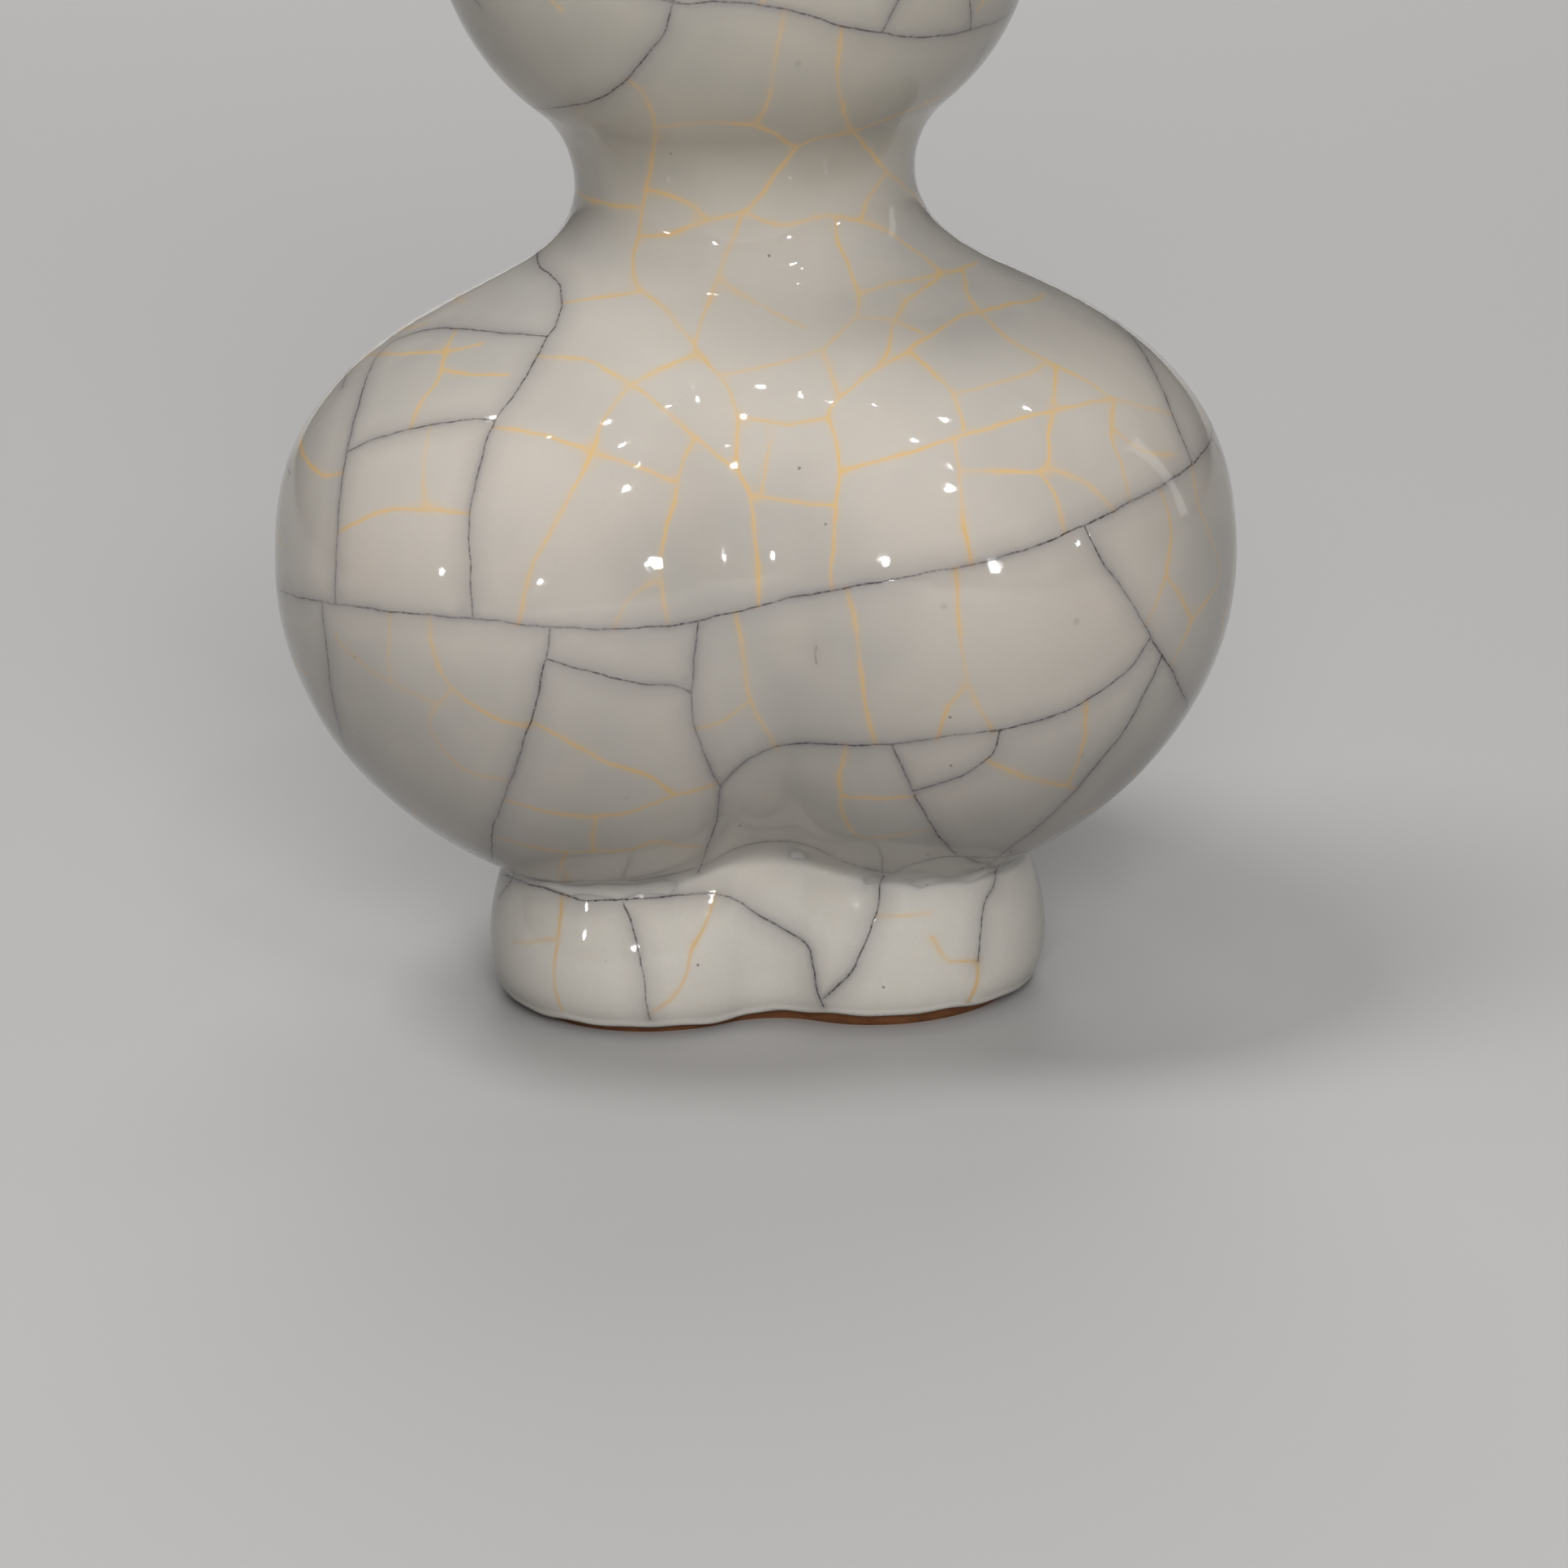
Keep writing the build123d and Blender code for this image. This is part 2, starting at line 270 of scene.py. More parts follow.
def glazeRadius(angle, z):
    # distance from the axis to the glaze's outside
    angle, z = np.broadcast_arrays(np.asarray(angle, float), np.asarray(z, float))
    half, offset, turn = (np.interp(z, lowerTable[0], lowerTable[k]) for k in (1, 2, 3))
    body = lobedRadius(angle, half, offset, turn)
    body = np.where(z < lowerTable[0, 0], 0.0, body)
    body = np.where(z > vaseForm["waistHeight"], upperRadius(z), body)
    footTop = vaseForm["footHeights"][-1]
    footHalf = np.polyval(footCurve, np.clip(z, 0, footTop))
    foot = lobedRadius(angle, footHalf, vaseForm["footLobeOffset"], np.full_like(z, footTurn))
    foot = np.where(z > footTop, 0.0, foot + footPool(angle, z) + edgeSwell(z))
    soft = vaseForm["creaseSoftness"]
    blend = np.maximum(soft - np.abs(body - foot), 0) / soft
    out = np.maximum(body, foot) + blend**2 * soft / 4
    wobble = sum(share * np.sin(turns * angle + rise * z + start)
                 for share, turns, rise, start in vaseForm["waves"])
    still, fromRim, fromLip = vaseForm["unevenFade"]
    fade = np.clip((z - still) / fromRim, 0, 1) * np.clip((lipHeight - still - z) / fromLip, 0, 1)
    return out + vaseForm["uneven"] * wobble * fade


print("outside at the belly:",
      np.round(glazeRadius(np.radians([-30.0, -90.0, 0.0]), vaseForm["bellyHeight"]), 2))

# Cracks in the glaze: the routes seen on the front, as points in the photograph's frame.
# The dark ones opened first, the thin golden ones later, between them.
crackRoutes = {
    "iron": [
        [(327, 720), (400, 742), (470, 752), (580, 762), (670, 772), (740, 775), (800, 773), (860, 765),
         (930, 748), (1040, 725), (1130, 708), (1200, 695), (1270, 675), (1330, 650), (1400, 615),
         (1465, 575), (1490, 545)],
        [(662, 318), (685, 345), (692, 370), (685, 400), (675, 415), (645, 470), (612, 515), (592, 570),
         (582, 615), (577, 660), (580, 700), (582, 760)],
        [(675, 415), (620, 410), (550, 404), (496, 415), (470, 433), (447, 482), (434, 527), (427, 558),
         (418, 625), (414, 700), (414, 742)],
        [(427, 558), (470, 538), (540, 522), (590, 515), (612, 516)],
        [(397, 741), (402, 794), (407, 843), (415, 884), (425, 919), (443, 960)],
        [(675, 774), (672, 810), (660, 868), (642, 924), (627, 968), (614, 1001), (606, 1027),
         (607, 1057), (630, 1085)],
        [(675, 810), (735, 830), (790, 842), (835, 846), (852, 855)],
        [(858, 765), (855, 820), (852, 855), (855, 890), (868, 930), (888, 970)],
        [(860, 1075), (875, 1035), (885, 1000), (888, 970), (910, 945), (950, 922), (990, 916),
         (1060, 918), (1100, 917), (1160, 908), (1225, 900), (1290, 885), (1340, 862), (1390, 825),
         (1418, 785)],
        [(1335, 649), (1360, 695), (1390, 735), (1418, 785), (1440, 820), (1455, 850), (1462, 872)],
        [(1432, 807), (1410, 855), (1385, 900), (1345, 950), (1300, 1000), (1250, 1040), (1235, 1052)],
        [(1102, 918), (1112, 945), (1130, 985), (1150, 1020), (1175, 1050), (1190, 1056)],
        [(1230, 900), (1225, 925), (1210, 940), (1180, 958), (1133, 977)],
        [(1404, 428), (1427, 469), (1449, 522), (1467, 571)],
        [(670, 134), (711, 129), (746, 118), (773, 96), (795, 71), (818, 40), (830, 0)],
        [(745, -60), (790, -14), (831, 4), (880, 2), (945, 7), (989, 17), (1034, 31), (1087, 41),
         (1141, 46), (1195, 37), (1239, 20), (1264, 0)],
        [(1107, 0), (1087, 41)],
        [(1195, 0), (1196, 37)],
        [(764, 1108), (779, 1138), (787, 1173), (795, 1217), (801, 1256)],
        [(609, 1074), (630, 1081), (665, 1093), (693, 1102), (721, 1109), (763, 1109), (815, 1105),
         (889, 1102), (938, 1130), (991, 1161), (1001, 1189), (1008, 1224), (1014, 1245)],
        [(1090, 1079), (1083, 1107), (1073, 1145), (1060, 1176), (1042, 1212), (1027, 1235)],
        [(1241, 1058), (1226, 1079), (1215, 1107), (1210, 1133), (1207, 1163), (1205, 1184)],
        [(819, 1079), (861, 1068), (903, 1047), (931, 1039), (959, 1036), (1001, 1044), (1044, 1063),
         (1096, 1076), (1114, 1068), (1142, 1060), (1177, 1055), (1233, 1056), (1268, 1048)],
    ],
    "faintIron": [
        [(1006, 797), (1004, 806), (1006, 818)],
    ],
    "gold": [
        [(773, 96), (795, 118), (807, 156), (804, 196), (795, 237), (787, 286), (780, 321), (787, 353),
         (818, 379), (842, 408), (867, 442), (894, 473), (909, 518), (907, 571), (925, 612), (929, 656),
         (934, 700), (930, 748)],
        [(809, 158), (858, 152), (907, 152), (947, 161), (980, 180), (1007, 170), (1047, 163),
         (1114, 138), (1168, 114), (1204, 89)],
        [(795, 237), (831, 243), (854, 254), (874, 270), (912, 261), (934, 245), (956, 214), (979, 181)],
        [(724, 245), (787, 255), (793, 250)],
        [(784, 295), (813, 292), (874, 270)],
        [(914, 263), (903, 295), (885, 339), (871, 379), (858, 411), (856, 426)],
        [(695, 373), (737, 367), (787, 360)],
        [(670, 437), (724, 444), (773, 471), (813, 500), (858, 540), (908, 580)],
        [(773, 473), (746, 513), (729, 558), (702, 612), (675, 661), (657, 696), (648, 725),
         (641, 762)],
        [(608, 531), (657, 533), (702, 547), (729, 556), (782, 574), (833, 594)],
        [(860, 542), (840, 576), (831, 616), (818, 665), (813, 700), (819, 735), (826, 764)],
        [(865, 437), (822, 451), (773, 471)],
        [(456, 437), (550, 433)],
        [(563, 406), (541, 464), (519, 495), (505, 527)],
        [(537, 458), (626, 462)],
        [(420, 656), (456, 636), (496, 627), (582, 629)],
        [(371, 549), (385, 576), (403, 587), (420, 586)],
        [(1034, 33), (1032, 76), (1034, 112), (1043, 152), (1047, 163)],
        [(1047, 163), (1056, 170), (1092, 210), (1123, 237)],
        [(1092, 214), (1070, 245), (1058, 270), (1020, 266), (958, 277), (914, 263)],
        [(1058, 270), (1096, 286), (1132, 312), (1163, 335), (1186, 330)],
        [(1032, 268), (1032, 295), (1047, 330), (1058, 366), (1052, 393), (1016, 429), (1023, 455),
         (1034, 491)],
        [(1052, 393), (1092, 393), (1132, 408)],
        [(1163, 335), (1123, 366), (1101, 397), (1096, 429), (1079, 455)],
        [(1186, 332), (1190, 357), (1208, 384), (1239, 415), (1293, 446), (1346, 473), (1373, 491),
         (1440, 509)],
        [(1275, 370), (1244, 375), (1208, 384), (1177, 393), (1132, 422), (1119, 433), (1079, 455),
         (1034, 491), (1020, 509), (1029, 536), (1034, 580), (1029, 638), (1025, 700), (1027, 728)],
        [(1119, 435), (1150, 460), (1172, 482), (1186, 522), (1190, 536)],
        [(1034, 580), (1087, 567), (1168, 542), (1212, 529), (1275, 511), (1329, 500), (1369, 500)],
        [(1172, 542), (1181, 580), (1186, 634), (1197, 683), (1199, 695)],
        [(1186, 575), (1284, 578), (1293, 527), (1297, 450)],
        [(1284, 578), (1302, 612), (1315, 655)],
        [(1373, 491), (1369, 536), (1382, 571), (1393, 618)],
        [(1467, 571), (1476, 620), (1494, 670), (1503, 709), (1471, 762), (1442, 822)],
        [(1431, 600), (1442, 643), (1438, 700), (1413, 771)],
        [(1440, 709), (1456, 736), (1469, 762)],
        [(530, 758), (532, 798), (550, 838), (577, 865), (612, 885), (653, 894)],
        [(653, 890), (702, 914), (746, 939), (795, 954), (831, 979)],
        [(620, 985), (670, 999), (724, 1006), (773, 1001), (831, 981), (886, 966)],
        [(606, 1030), (670, 1046), (729, 1050), (782, 1046), (809, 1037), (870, 1046)],
        [(907, 755), (918, 820), (925, 865), (956, 918)],
        [(1047, 724), (1058, 798), (1065, 861), (1076, 917)],
        [(1177, 700), (1181, 762), (1188, 820), (1195, 847), (1221, 899)],
        [(1190, 847), (1168, 870), (1152, 908)],
        [(1038, 918), (1036, 977), (1074, 983), (1130, 982)],
        [(1212, 939), (1253, 954), (1284, 962), (1324, 972)],
        [(1342, 862), (1335, 914), (1320, 963)],
        [(690, 1103), (690, 1130), (686, 1165), (683, 1200), (693, 1246)],
        [(885, 1103), (870, 1140), (855, 1165), (845, 1200), (830, 1230), (803, 1252)],
        [(1148, 1155), (1170, 1185), (1205, 1200)],
        [(1205, 1184), (1203, 1215), (1197, 1240)],
        [(931, 606), (960, 612), (990, 622), (1025, 626)],
        [(972, 523), (1000, 516), (1018, 511)],
        [(909, 517), (930, 523), (955, 528)],
    ],
    "faintGold": [
        [(530, 525), (523, 620)],
        [(1177, 482), (1257, 464), (1293, 446)],
        [(1293, 580), (1329, 591), (1360, 612), (1375, 628)],
        [(1371, 525), (1409, 556), (1449, 560)],
        [(414, 780), (420, 794), (470, 834), (537, 867)],
        [(554, 845), (532, 879), (532, 901), (550, 928), (577, 950), (630, 961)],
        [(483, 754), (479, 820), (483, 842)],
        [(731, 1006), (732, 1048)],
        [(697, 1050), (697, 1100)],
        [(925, 865), (894, 887), (855, 897)],
        [(1036, 977), (1036, 995), (1052, 1026), (1079, 1032), (1153, 1021)],
        [(633, 1160), (685, 1161)],
        [(1078, 1131), (1100, 1130), (1145, 1125)],
        [(949, 546), (940, 580), (932, 603)],
        [(811, 710), (790, 722), (772, 736), (754, 764)],
        [(961, 16), (954, 83), (947, 124), (936, 153)],
        [(901, 344), (938, 376), (993, 404)],
        [(892, 464), (940, 452), (984, 441), (1016, 428)],
        [(1062, 365), (1099, 350), (1140, 342), (1160, 336)],
    ],
}

# The coat's own map: angle round the axis, and the way along its section, counted so that a step
# round and a step along look alike. The way runs from the rolled lower edge up the wall, over the
# lip, and back down the coat's inner side.
coatMap = {"heights": 3000, "angles": 73, "normalStep": 2e-4, "leastLength": 1e-12}
rollRadius = (glazeThickness + vaseForm["edgeSwell"]) / 2
wallHeights = np.linspace(vaseForm["rimHeight"] + rollRadius, lipHeight, coatMap["heights"])
wallAngles = np.linspace(-math.pi, math.pi, coatMap["angles"])[:-1]
wallRadii = glazeRadius(wallAngles[None, :], wallHeights[:, None])
wallSteps = np.hypot(np.diff(wallHeights)[:, None], np.diff(wallRadii, axis=0)).mean(axis=1)
wallMeans = wallRadii.mean(axis=1)
wallWays = np.concatenate([[0.0], np.cumsum(2 * wallSteps / (wallMeans[1:] + wallMeans[:-1]))])
wayTop = wallWays[-1]
rollWay = math.pi * rollRadius / wallMeans[0]
lipWay = math.pi / 2 * vaseForm["lipRadius"] / wallMeans[-1]
innerStart = wayTop + 2 * lipWay
wayEnd = innerStart + wayTop


def scaleAt(way):
    # millimetres in one unit of the map
    way = np.where(way > innerStart, wayEnd - way, way)
    return np.interp(way, wallWays, wallMeans)


def edgeLift(angle):
    wander = sum(share * np.sin(turns * angle + start) for share, turns, start in vaseForm["edgeWaves"])
    wander = vaseForm["edgeUneven"] * wander / 2
    high = turnFrom(angle, vaseForm["edgeHighAngle"]) / vaseForm["edgeHighWidth"]
    return wander + vaseForm["edgeHigh"] * np.exp(-(high**2))


def coatSection(angle, way):
    # distance from the axis and height
    angle, way = np.broadcast_arrays(np.asarray(angle, float), np.asarray(way, float))
    onWall = np.where(way > innerStart, wayEnd - way, way)
    height = np.interp(onWall, wallWays, wallHeights)
    nearEdge = np.clip(1 - (height - wallHeights[0]) / vaseForm["edgeFade"], 0, 1) ** 2
    height = height + edgeLift(angle) * nearEdge
    radius = glazeRadius(angle, height)
    roll = np.clip(-way / rollWay, 0, 1) * math.pi
    overLip = np.clip((way - wayTop) / lipWay, 0, 1) * math.pi / 2
    underLip = np.clip((innerStart - way) / lipWay, 0, 1) * math.pi / 2
    places = [way < 0, way <= wayTop, way <= wayTop + lipWay, way <= innerStart]
    radius = np.select(places, [
        radius - rollRadius + rollRadius * np.cos(roll),
        radius,
        lipOut + vaseForm["lipRadius"] * np.cos(overLip),
        lipOut + vaseForm["lipClayRadius"] * np.cos(underLip),
    ], radius - glazeThickness - edgeSwell(height))
    height = np.select(places, [
        height - rollRadius * np.sin(roll),
        height,
        lipHeight + vaseForm["lipRadius"] * np.sin(overLip),
        lipHeight + vaseForm["lipClayRadius"] * np.sin(underLip),
    ], height)
    return radius, height


def coatPoint(angle, way):
    radius, height = coatSection(angle, way)
    return np.stack([radius * np.cos(angle), radius * np.sin(angle), height], axis=-1)


def coatNormal(angle, way):
    step = coatMap["normalStep"]
    around = coatPoint(angle + step, way) - coatPoint(angle - step, way)
    along = coatPoint(angle, way + step) - coatPoint(angle, way - step)
    normal = np.cross(around, along)
    return normal / np.maximum(np.linalg.norm(normal, axis=-1, keepdims=True), coatMap["leastLength"])


def facing(angle, way):
    # how squarely a spot faces the camera, below zero where it faces away or lies out of frame
    place, right, top, forward = cameraAxes()
    spot = coatPoint(angle, way)
    look = place - spot
    square = (coatNormal(angle, way) * look).sum(axis=-1) / np.linalg.norm(look, axis=-1)
    rise = ((spot - place) @ top) / ((spot - place) @ forward) * focalPixels
    return np.where(rise > photoView["framePixels"] / 2 - photoView["frameMargin"], -1.0, square)


sightTrace = {"depth": 110.0, "step": 0.5, "halvings": 24, "missed": 50.0}


def traceOnCoat(pixels):
    # where the camera's rays through these points meet the glaze, as angle and way
    place, right, top, forward = cameraAxes()
    middle = photoView["framePixels"] / 2
    sight = (np.asarray(pixels, float) - middle) / focalPixels
    aim = forward + sight[:, :1] * right - sight[:, 1:] * top
    aim = aim / np.linalg.norm(aim, axis=1, keepdims=True)

    def outside(reach):
        spot = place + reach[..., None] * (aim[:, None] if reach.ndim == 2 else aim)
        gap = np.hypot(spot[..., 0], spot[..., 1])
        gap = gap - glazeRadius(np.arctan2(spot[..., 1], spot[..., 0]), spot[..., 2])
        inHeight = (spot[..., 2] > wallHeights[0]) & (spot[..., 2] < lipHeight)
        return np.where(inHeight, gap, sightTrace["missed"])

    depth = sightTrace["depth"]
    reaches = photoView["distance"] + np.arange(-depth, depth, sightTrace["step"])
    gaps = outside(np.tile(reaches, (len(aim), 1)))
    inside = gaps < 0
    found = inside.any(axis=1)
    first = np.where(found, inside.argmax(axis=1), gaps.argmin(axis=1))
    low = reaches[np.maximum(first - 1, 0)]
    high = reaches[first]
    for halving in range(sightTrace["halvings"]):
        mid = (low + high) / 2
        isIn = outside(mid) < 0
        high = np.where(isIn, mid, high)
        low = np.where(isIn, low, mid)
    spot = place + np.where(found, high, reaches[first])[:, None] * aim
    angle = np.unwrap(np.arctan2(spot[:, 1], spot[:, 0]))
    return np.stack([angle, np.interp(spot[:, 2], wallHeights, wallWays)], axis=1)


# The net of cracks: the seen routes are laid on the glaze, run on round the sides, and the unseen
# back and top are filled by new cracks, each splitting an open field until it meets another
crackNet = {
    "seed": 11,
    "spacing": {"iron": 1.1, "gold": 1.2},     # between stations along a crack
    "wiggle": {"iron": 0.10, "gold": 0.10},
    "meet": 2.4,              # an end this near to another crack joins it
    "fieldSize": {"iron": 15.0, "gold": 7.0},  # open fields are split down to this
    "wander": {"iron": 0.045, "gold": 0.07},
    "longest": {"iron": 110, "gold": 45},
    "trials": 6000,
    "lowWay": 0.004,
    "highWay": wayTop + 0.8 * lipWay,  # most of the way over the lip
    "seenFacing": 0.22,       # cracks grow only where the coat turns away more than this
    "curveSteps": 12,
    "leastStations": 5,
    "swerves": ((1.0, 1.7), (0.8, 0.83), (0.5, 0.41)),  # share and reach
    "swerveScale": 1.6,
    "swerveFade": 3.0,        # none at the ends, growing over this
    "bendBack": 6.0,          # how much of an end bends to join
    "touch": 1.0,             # a growing crack this near another ends on it
    "driftShare": 3,
    "held": 4,                # first steps that don't end
    "headingSteps": 3,        # a crack runs on in the direction of its last stations
    "fewest": 3,              # a crack has more points than this
    "thinned": 8,             # and one with more than this is drawn from every second
    "runOnFacing": 0.42,      # ends that face the camera less than this run on
    "fillLow": 0.02,
    "fillMargin": 0.02,
    "choice": (0.8, 1.0),
    "aimSpread": 0.4,
    "fillForce": (0.6, 1.0),
    "forceSpread": (0.85, 1.0),
    "far": 99.0,
    "routeForce": {"iron": 1.0, "faintIron": 0.35, "gold": 1.0, "faintGold": 0.72},
}
rng = np.random.default_rng(crackNet["seed"])
cracks = []
netSpots = np.zeros((0, 3))
netMap = np.zeros((0, 2))


def addCrack(kind, points, force):
    global netSpots, netMap
    spots = coatPoint(points[:, 0], points[:, 1])
    cracks.append({"kind": kind, "points": points, "spots": spots, "force": force})
    netSpots = np.concatenate([netSpots, spots])
    netMap = np.concatenate([netMap, points])


def nearestInNet(here):
    # the net's nearest station, and how far it is
    if len(netSpots) == 0:
        return 0, crackNet["far"]
    gaps = np.linalg.norm(netSpots - coatPoint(here[0], here[1]), axis=1)
    return gaps.argmin(), gaps.min()


def shortWay(here, there):
    # the step from one place to another on the map, the short way round
    step = there - here
    step[0] = (step[0] + math.pi) % (2 * math.pi) - math.pi
    return step


def smoothRoute(points, spacing, wiggle):
    # a curve through the points, with even stations and small irregular swerves
    ends = [2 * points[0] - points[1], *points, 2 * points[-1] - points[-2]]
    t = np.linspace(0, 1, crackNet["curveSteps"], endpoint=False)[:, None]
    curve = []
    for a, b, c, d in zip(ends, ends[1:], ends[2:], ends[3:]):
        bend = 2 * b + (c - a) * t + (2 * a - 5 * b + 4 * c - d) * t**2 + (3 * b - a - 3 * c + d) * t**3
        curve.append(bend / 2)
    curve = np.concatenate([*curve, points[-1:]])
    lengths = np.linalg.norm(np.diff(coatPoint(curve[:, 0], curve[:, 1]), axis=0), axis=1)
    run = np.concatenate([[0.0], np.cumsum(lengths)])
    stations = np.linspace(0, run[-1], max(int(run[-1] / spacing), crackNet["leastStations"]) + 1)
    curve = np.stack([np.interp(stations, run, curve[:, k]) for k in (0, 1)], axis=1)
    tangent = np.gradient(curve, axis=0)
    normal = np.stack([-tangent[:, 1], tangent[:, 0]], axis=1)
    normal = normal / np.maximum(np.linalg.norm(normal, axis=1, keepdims=True), coatMap["leastLength"])
    phase = rng.uniform(0, 2 * math.pi, len(crackNet["swerves"]))
    swerve = sum(share * np.sin(stations / reach + start)
                 for (share, reach), start in zip(crackNet["swerves"], phase))
    fade = np.clip(np.minimum(stations, run[-1] - stations) / crackNet["swerveFade"], 0, 1)
    swerve = wiggle * swerve / crackNet["swerveScale"] * fade
    return curve + normal * (swerve / scaleAt(curve[:, 1]))[:, None]


def joinEnd(points, atEnd):
    # bends an end to the crack it nearly touches, and tells whether there is one
    order = points[::-1] if atEnd else points
    near, gap = nearestInNet(order[0])
    if gap > crackNet["meet"]:
        return False
    shift = shortWay(order[0], netMap[near])
    spots = coatPoint(order[:, 0], order[:, 1])
    away = np.linalg.norm(spots - spots[0], axis=1)
    order += shift * np.clip(1 - away / crackNet["bendBack"], 0, 1)[:, None]
    return True


def growCrack(start, heading, kind, held=0):
    # steps on by a millimetre until another crack, the rim, the lip or the seen front is met
    points = [np.array(start, float)]
    drift = rng.normal(0, crackNet["wander"][kind] / crackNet["driftShare"])
    for step in range(crackNet["longest"][kind]):
        heading += drift + rng.normal(0, crackNet["wander"][kind])
        move = np.array([math.cos(heading), math.sin(heading)])
        here = points[-1] + move / scaleAt(points[-1][1])
        if not crackNet["lowWay"] < here[1] < crackNet["highWay"]:
            points.append(np.array([here[0], np.clip(here[1], crackNet["lowWay"], crackNet["highWay"])]))
            break
        near, gap = nearestInNet(here)
        if step >= held and gap < crackNet["touch"]:
            points.append(here + shortWay(here, netMap[near]))
            break
        points.append(here)
        if step >= held and facing(here[0], here[1]) > crackNet["seenFacing"]:
            break
    return np.array(points)


def layRoutes(kind, routes):
    for route in crackRoutes[routes]:
        points = smoothRoute(traceOnCoat(route), crackNet["spacing"][kind], crackNet["wiggle"][kind])
        for atEnd in (False, True):
            joined = joinEnd(points, atEnd)
            back = crackNet["headingSteps"]
            tip, inner = (points[-1], points[-1 - back]) if atEnd else (points[0], points[back])
            if joined or facing(tip[0], tip[1]) > crackNet["runOnFacing"]:
                continue
            heading = math.atan2(tip[1] - inner[1], tip[0] - inner[0])
            more = growCrack(tip, heading, kind, crackNet["held"])[1:]
            points = np.concatenate([points, more]) if atEnd else np.concatenate([more[::-1], points])
        addCrack(kind, points, crackNet["routeForce"][routes] * rng.uniform(*crackNet["forceSpread"]))


def fillUnseen(kind):
    trials = crackNet["trials"]
    angle = rng.uniform(-math.pi, math.pi, trials)
    way = rng.uniform(crackNet["fillLow"], crackNet["highWay"], trials)
    keep = facing(angle, way) < crackNet["seenFacing"] - crackNet["fillMargin"]
    keep = keep & (rng.uniform(0, 1, trials) < (scaleAt(way) / wallMeans.max()) ** 2)
    fields = np.stack([angle, way], axis=1)[keep]
    spots = coatPoint(fields[:, 0], fields[:, 1])
    room = np.full(len(spots), crackNet["far"])
    for crack in cracks:
        gaps = np.linalg.norm(spots[:, None] - crack["spots"][None], axis=2)
        room = np.minimum(room, gaps.min(axis=1))
    while True:
        widest = (room * rng.uniform(*crackNet["choice"], len(room))).argmax()
        if room[widest] < crackNet["fieldSize"][kind]:
            break
        start = fields[widest]
        toward = shortWay(start, netMap[nearestInNet(start)[0]])
        heading = math.atan2(toward[1], toward[0]) + math.pi / 2 + rng.normal(0, crackNet["aimSpread"])
        one = growCrack(start, heading, kind)
        other = growCrack(start, heading + math.pi, kind)
        points = np.concatenate([one[:0:-1], other])
        if len(points) > crackNet["fewest"]:
            points = points[::2] if len(points) > crackNet["thinned"] else points
            points = smoothRoute(points, crackNet["spacing"][kind], crackNet["wiggle"][kind])
            addCrack(kind, points, rng.uniform(*crackNet["fillForce"]))
            gaps = np.linalg.norm(spots[:, None] - cracks[-1]["spots"][None], axis=2)
            room = np.minimum(room, gaps.min(axis=1))
        room[widest] = 0.0


for kind, faint in (("iron", "faintIron"), ("gold", "faintGold")):
    layRoutes(kind, kind)
    layRoutes(kind, faint)
    fillUnseen(kind)
    mine = [len(c["points"]) for c in cracks if c["kind"] == kind]
    print(kind, "cracks:", len(mine), "stations:", sum(mine))

# The glaze coat as one closed mesh, with points set along both sides of each crack so that the
# cracks stay sharp. It is built from points because its triangles follow the cracks.
coatMesh = {
    "rows": {"iron": (0.0, 0.16, 0.45, 1.3, 3.0), "gold": (0.0, 0.35, 0.95)},  # from a crack's middle
    "field": 2.0,             # between points away from cracks
    "crease": 0.9,            # the same, where the wall bends sharply
    "clear": 0.8,             # share of that kept free beside cracks
    "innerField": 7.0,        # the same, on the hidden inner side
    "rimPoints": 260,
    "lipPoints": 110,
    "closest": 0.09,
    "farGap": 9.0,            # distances to cracks are kept up to here
    "thinRow": 0.9,           # rows further out have every second point
    "nearShare": 0.6,         # a row's point keeps this share of its distance from other cracks
    "fineHeights": (32.0, 8.0),  # fine below this, and from this far under the neck
    "footHeight": 6.0,
    "footField": 1.0,
    "rowPitch": 0.87,
    "wallEnd": 0.01,
    "rollRows": 7,
    "lipRows": 8,
    "underLipRows": 4,
    "underLipStart": 1.02,
    "innerEnds": (0.12, 0.06),
    "leastRing": 12,
    "lowest": 0.0005,
    "seamClear": 0.25,
    "sameTurn": 1e-5,
    "mapGrain": 1e-7,
    "weld": 1e-4,
}


def crackTree(kinds):
    # stations and the points halfway between them, with the strength of their crack
    spots, owner, force = [], [], []
    for index, crack in enumerate(cracks):
        if crack["kind"] not in kinds:
            continue
        middle = (crack["spots"][1:] + crack["spots"][:-1]) / 2
        quarters = [(crack["spots"][1:] * k + crack["spots"][:-1] * (1 - k)) for k in (0.25, 0.75)]
        mine = np.concatenate([crack["spots"], middle, *quarters])
        spots.append(mine)
        owner.extend([index] * len(mine))
        force.extend([crack["force"]] * len(mine))
    spots = np.concatenate(spots)
    tree = KDTree(len(spots))
    for index, spot in enumerate(spots):
        tree.insert(spot, index)
    tree.balance()
    return tree, np.array(owner), np.array(force)


